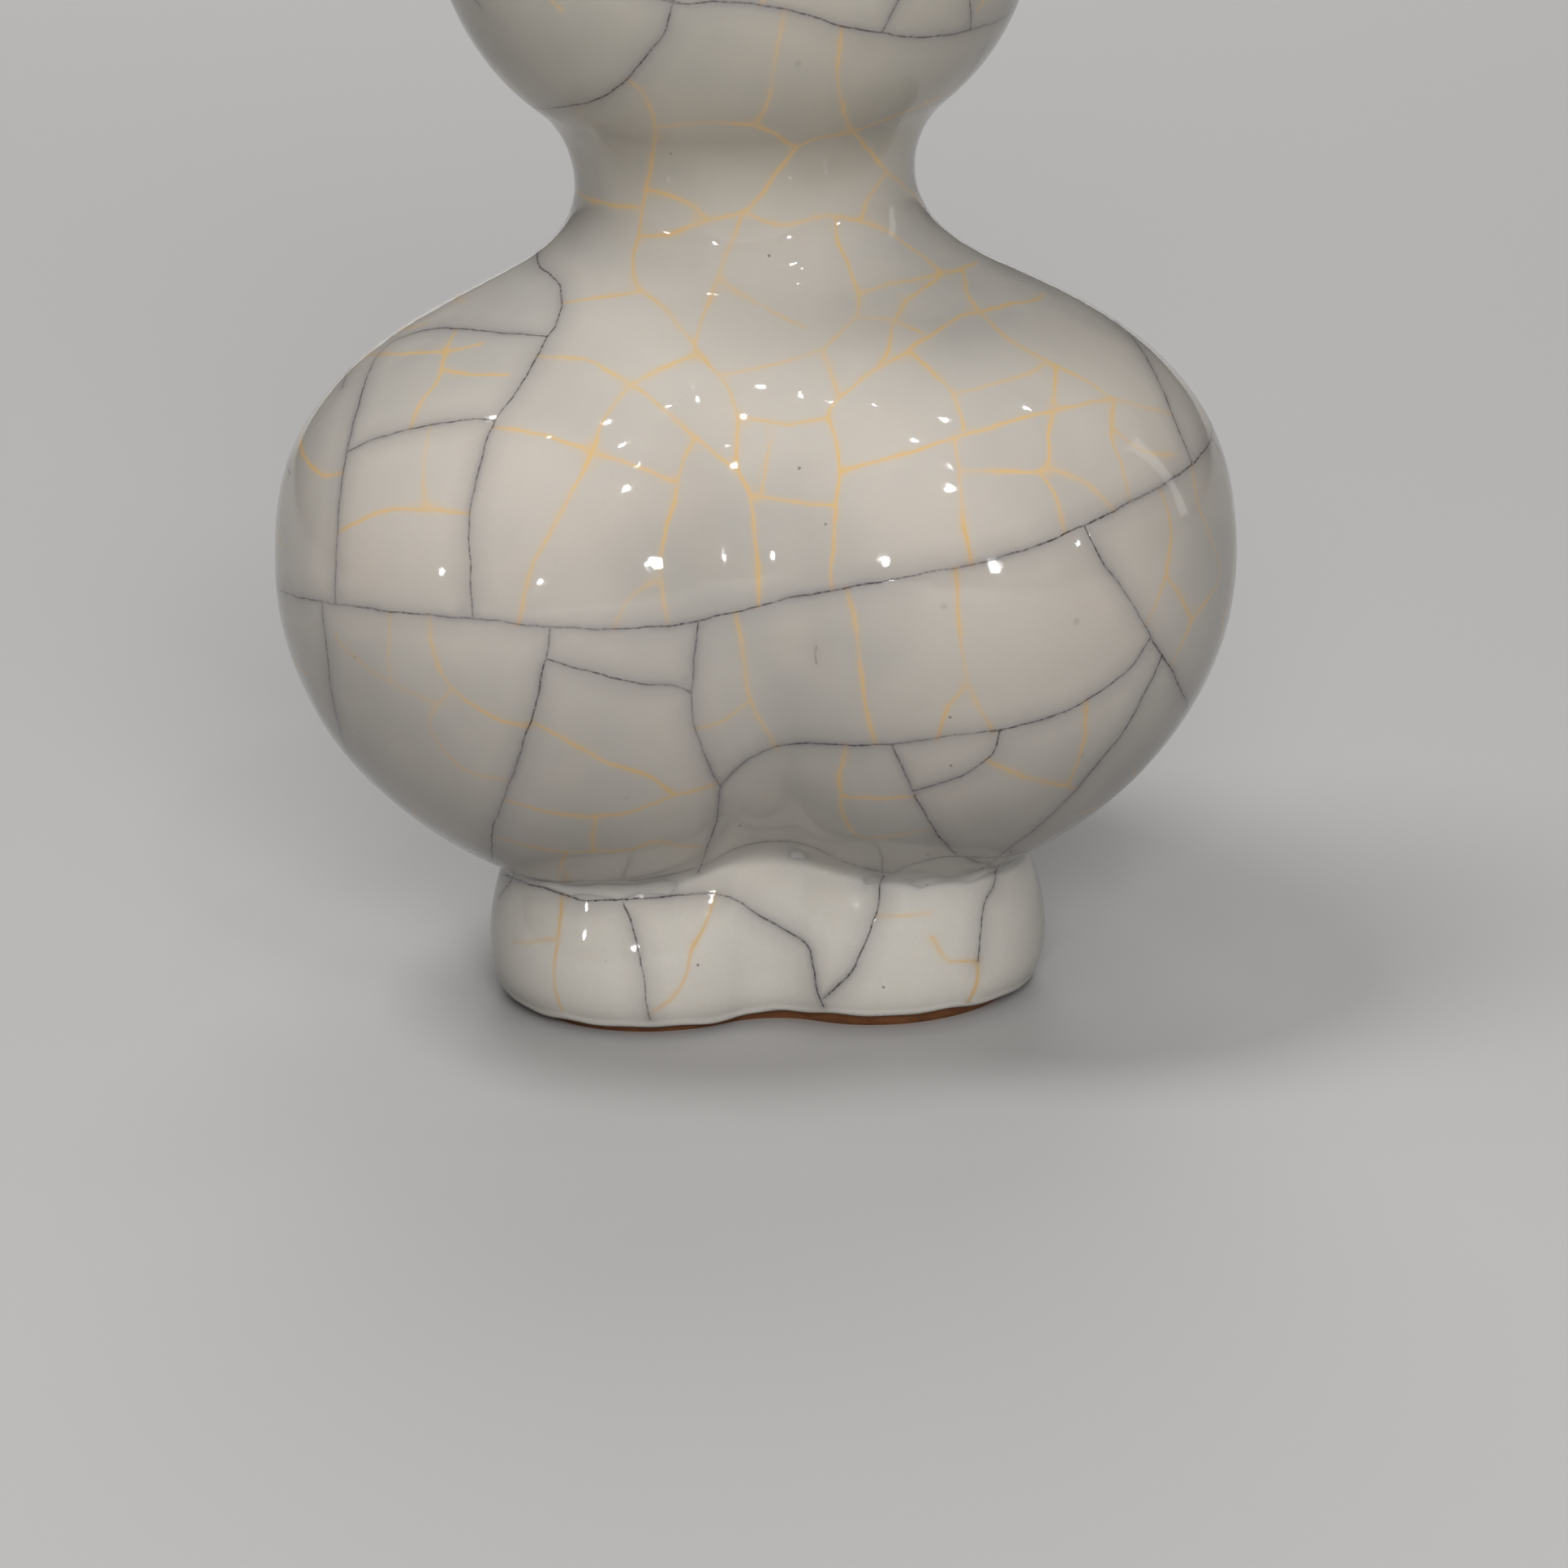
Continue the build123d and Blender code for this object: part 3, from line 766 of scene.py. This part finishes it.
def crackRows(tree, owner):
    # points beside each crack, left out where another crack is nearer
    rows = [[] for row in coatMesh["rows"]["iron"]]
    for index, crack in enumerate(cracks):
        tangent = np.gradient(crack["points"], axis=0)
        normal = np.stack([-tangent[:, 1], tangent[:, 0]], axis=1)
        normal = normal / np.maximum(np.linalg.norm(normal, axis=1, keepdims=True), coatMap["leastLength"])
        normal = normal / scaleAt(crack["points"][:, 1])[:, None]
        for order, offset in enumerate(coatMesh["rows"][crack["kind"]]):
            for side in (1, -1) if offset else (1,):
                row = crack["points"] + side * offset * normal
                if offset > coatMesh["thinRow"]:
                    row = row[::2]
                spots = coatPoint(row[:, 0], row[:, 1])
                for point, spot in zip(row, spots):
                    found = tree.find(spot)
                    clear = found[2] > coatMesh["nearShare"] * offset
                    if owner[found[1]] == index and clear or offset == 0:
                        rows[order].append(point)
    return np.concatenate([np.array(row) for row in rows if row])


def seamPoints():
    # where cracks cross the map's seam at the back, points on both of its sides
    ways = []
    for crack in cracks:
        turns = np.floor((crack["points"][:, 0] + math.pi) / (2 * math.pi))
        for k in np.nonzero(np.diff(turns))[0]:
            way = crack["points"][k : k + 2, 1].mean()
            for offset in coatMesh["rows"][crack["kind"]]:
                ways.extend([way - offset / scaleAt(way), way + offset / scaleAt(way)])
    ways = np.clip(ways, 0, wayTop)
    sides = [np.stack([np.full(len(ways), side), ways], axis=1) for side in (-math.pi, math.pi)]
    return np.concatenate(sides)


def ringRow(way, count, shifted):
    step = 2 * math.pi / count
    angle = -math.pi + (np.arange(1, count) + (0.5 if shifted else 0.0)) * step
    angle = np.concatenate([[-math.pi], angle[angle < math.pi - step / 3], [math.pi]])
    return np.stack([angle, np.full(len(angle), way)], axis=1)


def fieldRows(tree):
    # rings of points over the wall, finer at the crease, the foot and the lip, kept off the cracks
    kept = []
    way = 0.0
    count = 0
    low, underNeck = coatMesh["fineHeights"]
    while way < wayTop - coatMesh["wallEnd"]:
        height = np.interp(way, wallWays, wallHeights)
        fine = height < low or height > neckCentre[1] - underNeck
        size = coatMesh["crease"] if fine else coatMesh["field"]
        pitch = size if height > coatMesh["footHeight"] else coatMesh["footField"]
        row = ringRow(way, int(2 * math.pi * scaleAt(way) / pitch), count % 2)
        room = coatMesh["clear"] * size
        clear = [tree.find(spot)[2] > room for spot in coatPoint(row[:, 0], row[:, 1])]
        kept.append(row[np.array(clear) | (np.abs(row[:, 0]) > math.pi - coatMesh["sameTurn"])])
        way += coatMesh["rowPitch"] * size / scaleAt(way)
        count += 1
    return np.concatenate(kept)


def borderRows():
    rim = coatMesh["rimPoints"]
    lip = coatMesh["lipPoints"]
    roll, over, under = coatMesh["rollRows"], coatMesh["lipRows"], coatMesh["underLipRows"]
    start = coatMesh["underLipStart"]
    rows = [ringRow(-rollWay * k / roll, rim, k % 2 and k < roll) for k in range(1, roll + 1)]
    rows += [ringRow(wayTop + lipWay * k / over, lip, k % 2) for k in range(over + 1)]
    for k in range(under + 1):
        rows.append(ringRow(wayTop + lipWay * (start + (2 - start) * k / under), lip, False))
    way = innerStart
    stop, last = coatMesh["innerEnds"]
    while way < wayEnd - stop:
        way += coatMesh["innerField"] / scaleAt(way)
        count = int(2 * math.pi * scaleAt(way) / coatMesh["innerField"])
        if way < wayEnd - last:
            rows.append(ringRow(way, max(count, coatMesh["leastRing"]), False))
    rows.append(ringRow(wayEnd, rim, False))
    return np.concatenate(rows)


def gapTo(kind, spots):
    tree, owner, force = crackTree((kind,))
    found = [tree.find(spot) for spot in spots]
    gap = np.minimum([f[2] for f in found], coatMesh["farGap"])
    return gap, force[[f[1] for f in found]]


def buildCoat():
    tree, owner, force = crackTree(("iron", "gold"))
    beside = crackRows(tree, owner)
    beside[:, 0] = (beside[:, 0] + math.pi) % (2 * math.pi) - math.pi
    inMap = (beside[:, 1] > coatMesh["lowest"]) & (beside[:, 1] < crackNet["highWay"])
    inMap &= np.abs(beside[:, 0]) < math.pi - coatMesh["seamClear"] / scaleAt(beside[:, 1])
    points = np.concatenate([borderRows(), seamPoints(), beside[inMap], fieldRows(tree)])
    cell = np.round(points * scaleAt(points[:, 1])[:, None] / coatMesh["closest"])
    kept = np.sort(np.unique(cell, axis=0, return_index=True)[1])
    points = points[kept]
    same = coatMesh["sameTurn"]
    seam = points[points[:, 0] < same - math.pi]
    points = np.concatenate([points[points[:, 0] < math.pi - same], seam * (-1.0, 1.0)])
    result = delaunay_2d_cdt([Vector(p) for p in points], [], [], 0, coatMesh["mapGrain"])
    flat = np.array([v[:] for v in result[0]])
    faces = np.array(result[2])

    # weld the two sides of the seam, and the two ends of the section at the rim
    atRim = (flat[:, 1] > wayEnd - same) | (flat[:, 1] < same - rollWay)
    atSeam = np.abs(flat[:, 0]) > math.pi - same
    spots = coatPoint(np.where(atSeam, math.pi, flat[:, 0]), np.where(atRim, -rollWay, flat[:, 1]))
    cell = np.round(spots / coatMesh["weld"]).astype(np.int64)
    first, welded = np.unique(cell, axis=0, return_index=True, return_inverse=True)[1:]
    welded = welded.ravel()
    faces = welded[faces]
    whole = (faces[:, 0] != faces[:, 1]) & (faces[:, 1] != faces[:, 2]) & (faces[:, 2] != faces[:, 0])
    faces = faces[whole]
    flat, spots = flat[first], spots[first]
    edges = np.sort(np.concatenate([faces[:, :2], faces[:, 1:], faces[:, ::2]]), axis=1)
    sides = np.unique(edges, axis=0, return_counts=True)[1]
    print("glaze coat:", len(spots), "points,", len(faces), "triangles,", (sides != 2).sum(), "open edges")

    mesh = bpy.data.meshes.new("outerGlazeCoat")
    mesh.from_pydata((spots * mm).tolist(), [], faces.tolist())
    mesh.polygons.foreach_set("use_smooth", np.ones(len(faces), bool))
    for kind in ("iron", "gold"):
        gap, force = gapTo(kind, spots)
        onWall = (flat[:, 1] > -0.5 * rollWay) & (flat[:, 1] < wayTop + lipWay)
        gap = np.where(onWall, gap, coatMesh["farGap"])
        for name, values in ((kind + "Gap", gap), (kind + "Force", force)):
            mesh.attributes.new(name, "FLOAT", "POINT").data.foreach_set("value", values.astype(np.float32))
    mesh.normals_split_custom_set_from_vertices(coatNormal(flat[:, 0], flat[:, 1]).tolist())
    coat = bpy.data.objects.new("outer_glaze_coat", mesh)
    bpy.context.scene.collection.objects.link(coat)
    return coat


glazeCoat = buildCoat()
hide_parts("outer_glaze")
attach(glazeCoat, "root")

# Finishes, in linear colour
glazeLook = {
    "cream": (0.575, 0.525, 0.465),
    "grey": (0.475, 0.445, 0.405),
    "blush": (0.60, 0.525, 0.455),
    "pale": (0.68, 0.64, 0.575),
    "paleLitFootHeights": (0.030, 0.016),     # paler towards the foot: painted light for the light the foot catches, and its thick glaze
    "paleLitFootShare": 0.8,
    "oliveReflection": (0.44, 0.415, 0.34),
    "oliveReflectionHeights": (0.112, 0.128, 0.150, 0.172),   # painted reflection of the lower bulb's shoulder, darker and olive, fading in and out under the upper bulb
    "oliveReflectionShare": 0.42,
    "ironCore": (0.035, 0.030, 0.030),
    "ironHalo": (0.245, 0.225, 0.23),
    "goldLine": (0.72, 0.485, 0.225),
    "speck": (0.16, 0.13, 0.11),
    "spot": (0.34, 0.325, 0.30),
    "roughness": 0.06,
    "subsurface": 0.3,
    "subsurfaceScale": 0.003,
    "subsurfaceRadius": (1.0, 0.8, 0.6),
    "ior": 1.52,
    # clouds of noise: scale, detail, roughness, the range that is used, and what it becomes
    "patches": (26.0, 3.0, 0.5, 0.38, 0.66, 0.0, 0.8),
    "warm": (45.0, 2.0, 0.5, 0.52, 0.75, 0.0, 0.5),
    "bubbles": (1500.0, 2.0, 0.5, 0.3, 0.75, 0.0, 0.10),
    "goldPatchy": (75.0, 4.0, 0.6, 0.32, 0.62, 0.45, 1.0),
    "goldSpread": (190.0, 2.0, 0.5, 0.3, 0.7, 0.75, 1.5),
    "ironVeil": (85.0, 3.0, 0.5, 0.3, 0.7, 0.35, 1.0),
    "ironBeads": (1500.0, 1.0, 0.5, 0.35, 0.62, 0.45, 1.0),
    "ironThin": (52.0, 3.0, 0.5, 0.32, 0.6, 0.42, 1.0),
    # dots: cells in a metre, size in a cell, share of the cells, strength
    "spots": (110.0, 0.085, 0.20, 0.42),
    "specks": (300.0, 0.10, 0.05, 0.8),
    "dotMiddle": 0.35,
    "dotPick": 0.01,
    # what the distance to a crack becomes: from, to, and the values there
    "goldGlow": (1.15, 0.0, 0.0, 0.40),
    "goldCore": (0.44, 0.05, 0.0, 0.60),
    "ironNear": (1.4, 0.0, 0.0, 1.0),
    "ironNearPower": 1.7,
    "ironNearShare": 0.56,
    "ironWide": (4.2, 0.0, 0.0, 0.27),
    "ironLine": (0.22, 0.02),
    "ironRagged": (900.0, 2.0),
    "ironRaggedSize": 0.14,
    "crackDepth": 0.05,
    # relief: noise scale, detail and height
    "ripple": (95.0, 1.0, 0.7),
    "peel": (620.0, 1.0, 0.06),
    "bump": (0.5, 0.0006),
}
clayLook = {
    "patches": (170.0, 4.0, 0.65, 0.3, 0.7, 0.0, 1.0),
    "grit": (900.0, 0.3, 0.25),
    "gritColour": (0.05, 0.03, 0.02),
    "roughness": 0.85,
    "grain": (1400.0, 3.0, 0.6),
    "bump": (0.5, 0.0003),
    "colours": {   # dark, light, and strength of the grit
        "foot_clay": ((0.20, 0.075, 0.030), (0.36, 0.150, 0.065), 0.5),
        "clay": ((0.22, 0.15, 0.10), (0.30, 0.21, 0.15), 0.3),
        "slip": ((0.26, 0.19, 0.13), (0.32, 0.24, 0.17), 0.15),
    },
}


def addNode(tree, kind, settings=None, **inputs):
    # a shader node with its settings, and inputs given as values or as sockets to link
    node = tree.nodes.new(kind)
    for name, value in (settings or {}).items():
        setattr(node, name, value)
    for name, value in inputs.items():
        key = int(name[1:]) if name[1:].isdigit() else name.replace("_", " ")
        if isinstance(value, bpy.types.NodeSocket):
            tree.links.new(value, node.inputs[key])
        else:
            node.inputs[key].default_value = value
    return node


def calc(tree, operation, a, b=0.0, clamp=False):
    settings = {"operation": operation, "use_clamp": clamp}
    return addNode(tree, "ShaderNodeMath", settings, i0=a, i1=b).outputs[0]


def ramp(tree, value, low, high, fromValue=0.0, toValue=1.0, kind="SMOOTHSTEP"):
    settings = {"interpolation_type": kind, "clamp": True}
    inputs = {"i0": value, "i1": low, "i2": high, "i3": fromValue, "i4": toValue}
    return addNode(tree, "ShaderNodeMapRange", settings, **inputs).outputs[0]


def blendColour(tree, share, a, b):
    a = (*a, 1.0) if isinstance(a, tuple) else a
    b = (*b, 1.0) if isinstance(b, tuple) else b
    settings = {"data_type": "RGBA", "clamp_factor": True}
    return addNode(tree, "ShaderNodeMix", settings, i0=share, i6=a, i7=b).outputs[2]


def noise(tree, place, scale, detail=2.0, roughness=0.5):
    inputs = {"Vector": place, "Scale": scale, "Detail": detail, "Roughness": roughness}
    return addNode(tree, "ShaderNodeTexNoise", None, **inputs).outputs["Fac"]


def cloud(tree, place, settings):
    return ramp(tree, noise(tree, place, *settings[:3]), *settings[3:])


def attribute(tree, name):
    return addNode(tree, "ShaderNodeAttribute", {"attribute_name": name}).outputs["Fac"]


def newMaterial(name):
    material = bpy.data.materials.new(name)
    material.use_nodes = True
    tree = material.node_tree
    place = addNode(tree, "ShaderNodeTexCoord").outputs["Object"]
    return material, tree, tree.nodes["Principled BSDF"], place


def scatter(tree, place, scale, size, share):
    # small soft dots, on a share of the cells
    cells = addNode(tree, "ShaderNodeTexVoronoi", None, Vector=place, Scale=scale)
    pick = addNode(tree, "ShaderNodeSeparateColor", None, Color=cells.outputs["Color"]).outputs[0]
    dot = ramp(tree, cells.outputs["Distance"], size, size * glazeLook["dotMiddle"])
    return calc(tree, "MULTIPLY", dot, ramp(tree, pick, 1 - share, 1 - share + glazeLook["dotPick"]))


def milkyGlaze(name):
    look = glazeLook
    material, tree, shader, place = newMaterial(name)
    colour = blendColour(tree, cloud(tree, place, look["patches"]), look["cream"], look["grey"])
    colour = blendColour(tree, cloud(tree, place, look["warm"]), colour, look["blush"])
    height = addNode(tree, "ShaderNodeSeparateXYZ", None, Vector=place).outputs["Z"]
    # the glaze painted paler towards the foot: painted light for the light the foot catches, with its thick
    # glaze
    foot = ramp(tree, height, *look["paleLitFootHeights"], 0.0, look["paleLitFootShare"])
    colour = blendColour(tree, foot, colour, look["pale"])
    # a darker olive band under the upper bulb: painted reflection of the lower bulb's shoulder
    start, full, fade, end = look["oliveReflectionHeights"]
    above = ramp(tree, height, start, full)
    waist = calc(tree, "MULTIPLY", above, ramp(tree, height, end, fade, 0.0, look["oliveReflectionShare"]))
    colour = blendColour(tree, waist, colour, look["oliveReflection"])
    colour = blendColour(tree, cloud(tree, place, look["bubbles"]), colour, look["grey"])
    shader.inputs["Roughness"].default_value = look["roughness"]
    shader.inputs["Subsurface Weight"].default_value = look["subsurface"]
    shader.inputs["Subsurface Radius"].default_value = look["subsurfaceRadius"]
    shader.inputs["Subsurface Scale"].default_value = look["subsurfaceScale"]
    shader.inputs["IOR"].default_value = look["ior"]
    ripple, peel = [calc(tree, "MULTIPLY", noise(tree, place, scale, detail), high)
                    for scale, detail, high in (look["ripple"], look["peel"])]
    relief = calc(tree, "ADD", ripple, peel)
    return material, tree, shader, place, colour, relief


def addRelief(tree, shader, colour, relief, bump):
    strength, distance = bump
    tree.links.new(colour, shader.inputs["Base Color"])
    bump = addNode(tree, "ShaderNodeBump", None, Height=relief, Strength=strength, Distance=distance)
    tree.links.new(bump.outputs[0], shader.inputs["Normal"])


def crackleMaterial():
    look = glazeLook
    material, tree, shader, place, colour, relief = milkyGlaze("crackle_glaze")
    for dots, dotColour in (("spots", "spot"), ("specks", "speck")):
        *shape, share = look[dots]
        dot = calc(tree, "MULTIPLY", scatter(tree, place, *shape), share)
        colour = blendColour(tree, dot, colour, look[dotColour])

    strength = calc(tree, "MULTIPLY", attribute(tree, "goldForce"), cloud(tree, place, look["goldPatchy"]))
    spread = cloud(tree, place, look["goldSpread"])
    goldGap = calc(tree, "MULTIPLY", attribute(tree, "goldGap"), spread)
    glow = ramp(tree, goldGap, *look["goldGlow"])
    line = calc(tree, "ADD", glow, ramp(tree, goldGap, *look["goldCore"]))
    colour = blendColour(tree, calc(tree, "MULTIPLY", line, strength), colour, look["goldLine"])

    ironGap = attribute(tree, "ironGap")
    ironForce = attribute(tree, "ironForce")
    near = calc(tree, "POWER", ramp(tree, ironGap, *look["ironNear"], "LINEAR"), look["ironNearPower"])
    near = calc(tree, "MULTIPLY", near, cloud(tree, place, look["ironVeil"]))
    near = calc(tree, "MULTIPLY", near, look["ironNearShare"])
    halo = calc(tree, "ADD", near, ramp(tree, ironGap, *look["ironWide"]))
    colour = blendColour(tree, calc(tree, "MULTIPLY", halo, ironForce), colour, look["ironHalo"])
    ragged = calc(tree, "SUBTRACT", noise(tree, place, *look["ironRagged"]), 0.5)
    edge = calc(tree, "ADD", ironGap, calc(tree, "MULTIPLY", ragged, look["ironRaggedSize"]))
    thin = cloud(tree, place, look["ironThin"])
    broken = calc(tree, "MULTIPLY", thin, cloud(tree, place, look["ironBeads"]))
    core = calc(tree, "MULTIPLY", ramp(tree, edge, *look["ironLine"]), broken)
    core = calc(tree, "MULTIPLY", core, ironForce)
    colour = blendColour(tree, core, colour, look["ironCore"])
    relief = calc(tree, "SUBTRACT", relief, calc(tree, "MULTIPLY", core, look["crackDepth"]))
    addRelief(tree, shader, colour, relief, look["bump"])
    return material


def plainGlazeMaterial(name):
    material, tree, shader, place, colour, relief = milkyGlaze(name)
    addRelief(tree, shader, colour, relief, glazeLook["bump"])
    return material


def clayMaterial(name):
    look = clayLook
    dark, light, gritShare = look["colours"][name]
    material, tree, shader, place = newMaterial(name)
    colour = blendColour(tree, cloud(tree, place, look["patches"]), dark, light)
    grit = calc(tree, "MULTIPLY", scatter(tree, place, *look["grit"]), gritShare)
    colour = blendColour(tree, grit, colour, look["gritColour"])
    shader.inputs["Roughness"].default_value = look["roughness"]
    addRelief(tree, shader, colour, noise(tree, place, *look["grain"]), look["bump"])
    return material


finishes = {"crackle_glaze": crackleMaterial(), "inside_glaze": plainGlazeMaterial("inside_glaze")}
for name in clayLook["colours"]:
    finishes[name] = clayMaterial(name)
nodeFinish = {"foot_ring": "foot_clay", "inner_glaze": "inside_glaze", "base_glaze": "inside_glaze",
              "outer_glaze": "crackle_glaze"}


def paint(thing, finish):
    thing.data.materials.clear()
    thing.data.materials.append(finishes[finish])


paint(glazeCoat, "crackle_glaze")
for name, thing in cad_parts.items():
    paint(thing, nodeFinish.get(name, "slip" if name.endswith("_slip") else "clay"))
print("finishes:", ", ".join(finishes))

# Stage: a plain pale floor and plain soft studio light
stageLook = {
    "floorSize": 6.0,
    "floorColour": (0.50, 0.492, 0.484),
    "floorBounce": (0.08, 0.078, 0.076),     # what it gives back to the vase
    "floorRoughness": 0.8,
    "worldColour": (1.0, 1.0, 1.0, 1.0),
    "worldStrength": 0.07,
    "lampAim": (0.0, 0.0, 0.07),
    "lamps": {   # degrees to the right of the camera, degrees up, distance, width, height, watts
        "softKey": (5.0, 42.0, 1.9, 1.2, 1.2, 5.0),
        "softLow": (4.0, 23.0, 1.9, 0.8, 0.5, 20.0),
        "softTop": (-80.0, 68.0, 1.9, 0.7, 0.7, 13.0),
        "softBack": (172.0, 48.0, 1.9, 1.2, 1.2, 7.5),
        "softBackLow": (182.0, 16.0, 1.9, 1.0, 0.6, 11.0),
        "topSpark": (15.0, 43.0, 1.5, 0.085, 0.085, 0.75),
        "topSmallSpark": (20.0, 54.0, 1.5, 0.05, 0.05, 0.12),
        "leftSpark": (-14.5, 5.0, 1.5, 0.085, 0.085, 0.75),
        "rightSpark": (25.0, 5.5, 1.5, 0.085, 0.085, 0.75),
        "sideSparkLeft": (-52.0, 8.0, 1.5, 0.06, 0.06, 0.3),
        "sideSparkRight": (58.0, 9.0, 1.5, 0.06, 0.06, 0.3),
        "overSparkLeft": (-60.0, 74.0, 1.5, 0.038, 0.038, 0.17),
        "overSparkMiddle": (8.0, 69.0, 1.5, 0.038, 0.038, 0.17),
        "overSparkRight": (65.0, 76.0, 1.5, 0.038, 0.038, 0.17),
        "overSparkRear": (150.0, 78.0, 1.5, 0.038, 0.038, 0.17),
        "overSparkFarLeft": (-115.0, 62.0, 1.5, 0.038, 0.038, 0.17),
        "overSparkFarRight": (112.0, 60.0, 1.5, 0.038, 0.038, 0.17),
        "overSparkHigh": (-20.0, 83.0, 1.5, 0.038, 0.038, 0.17),
        "sideStrip": (108.0, 15.0, 1.5, 0.14, 0.8, 0.35),
    },
}


def addStage():
    bpy.ops.mesh.primitive_plane_add(size=stageLook["floorSize"])
    floor = bpy.context.object
    floor.name = "stageFloor"
    material, tree, shader, place = newMaterial("stage_floor")
    rays = addNode(tree, "ShaderNodeLightPath").outputs
    seen = calc(tree, "MAXIMUM", rays["Is Camera Ray"], rays["Is Glossy Ray"])
    seen = calc(tree, "MAXIMUM", seen, rays["Is Transmission Ray"])
    colour = blendColour(tree, seen, stageLook["floorBounce"], stageLook["floorColour"])
    tree.links.new(colour, shader.inputs["Base Color"])
    shader.inputs["Roughness"].default_value = stageLook["floorRoughness"]
    floor.data.materials.append(material)
    world = bpy.data.worlds.new("stageWorld")
    world.use_nodes = True
    world.node_tree.nodes["Background"].inputs["Color"].default_value = stageLook["worldColour"]
    world.node_tree.nodes["Background"].inputs["Strength"].default_value = stageLook["worldStrength"]
    bpy.context.scene.world = world
    aim = Vector(stageLook["lampAim"])
    for name, (turn, lift, distance, width, height, watts) in stageLook["lamps"].items():
        turn, lift = math.radians(turn), math.radians(lift)
        toward = Vector((math.sin(turn) * math.cos(lift), -math.cos(turn) * math.cos(lift), math.sin(lift)))
        bpy.ops.object.light_add(type="AREA", location=aim + distance * toward)
        lamp = bpy.context.object
        lamp.name = name
        lamp.data.shape = "RECTANGLE" if name.endswith("Strip") else "ELLIPSE"
        lamp.data.size = width
        lamp.data.size_y = height
        lamp.data.energy = watts
        lamp.visible_glossy = not name.startswith("soft")    # only the small lamps show in the gloss
        lamp.rotation_euler = toward.to_track_quat("Z", "Y").to_euler()


addStage()
bpy.context.scene.view_settings.view_transform = "Standard"
print("stage set:", len(stageLook["lamps"]), "lamps")
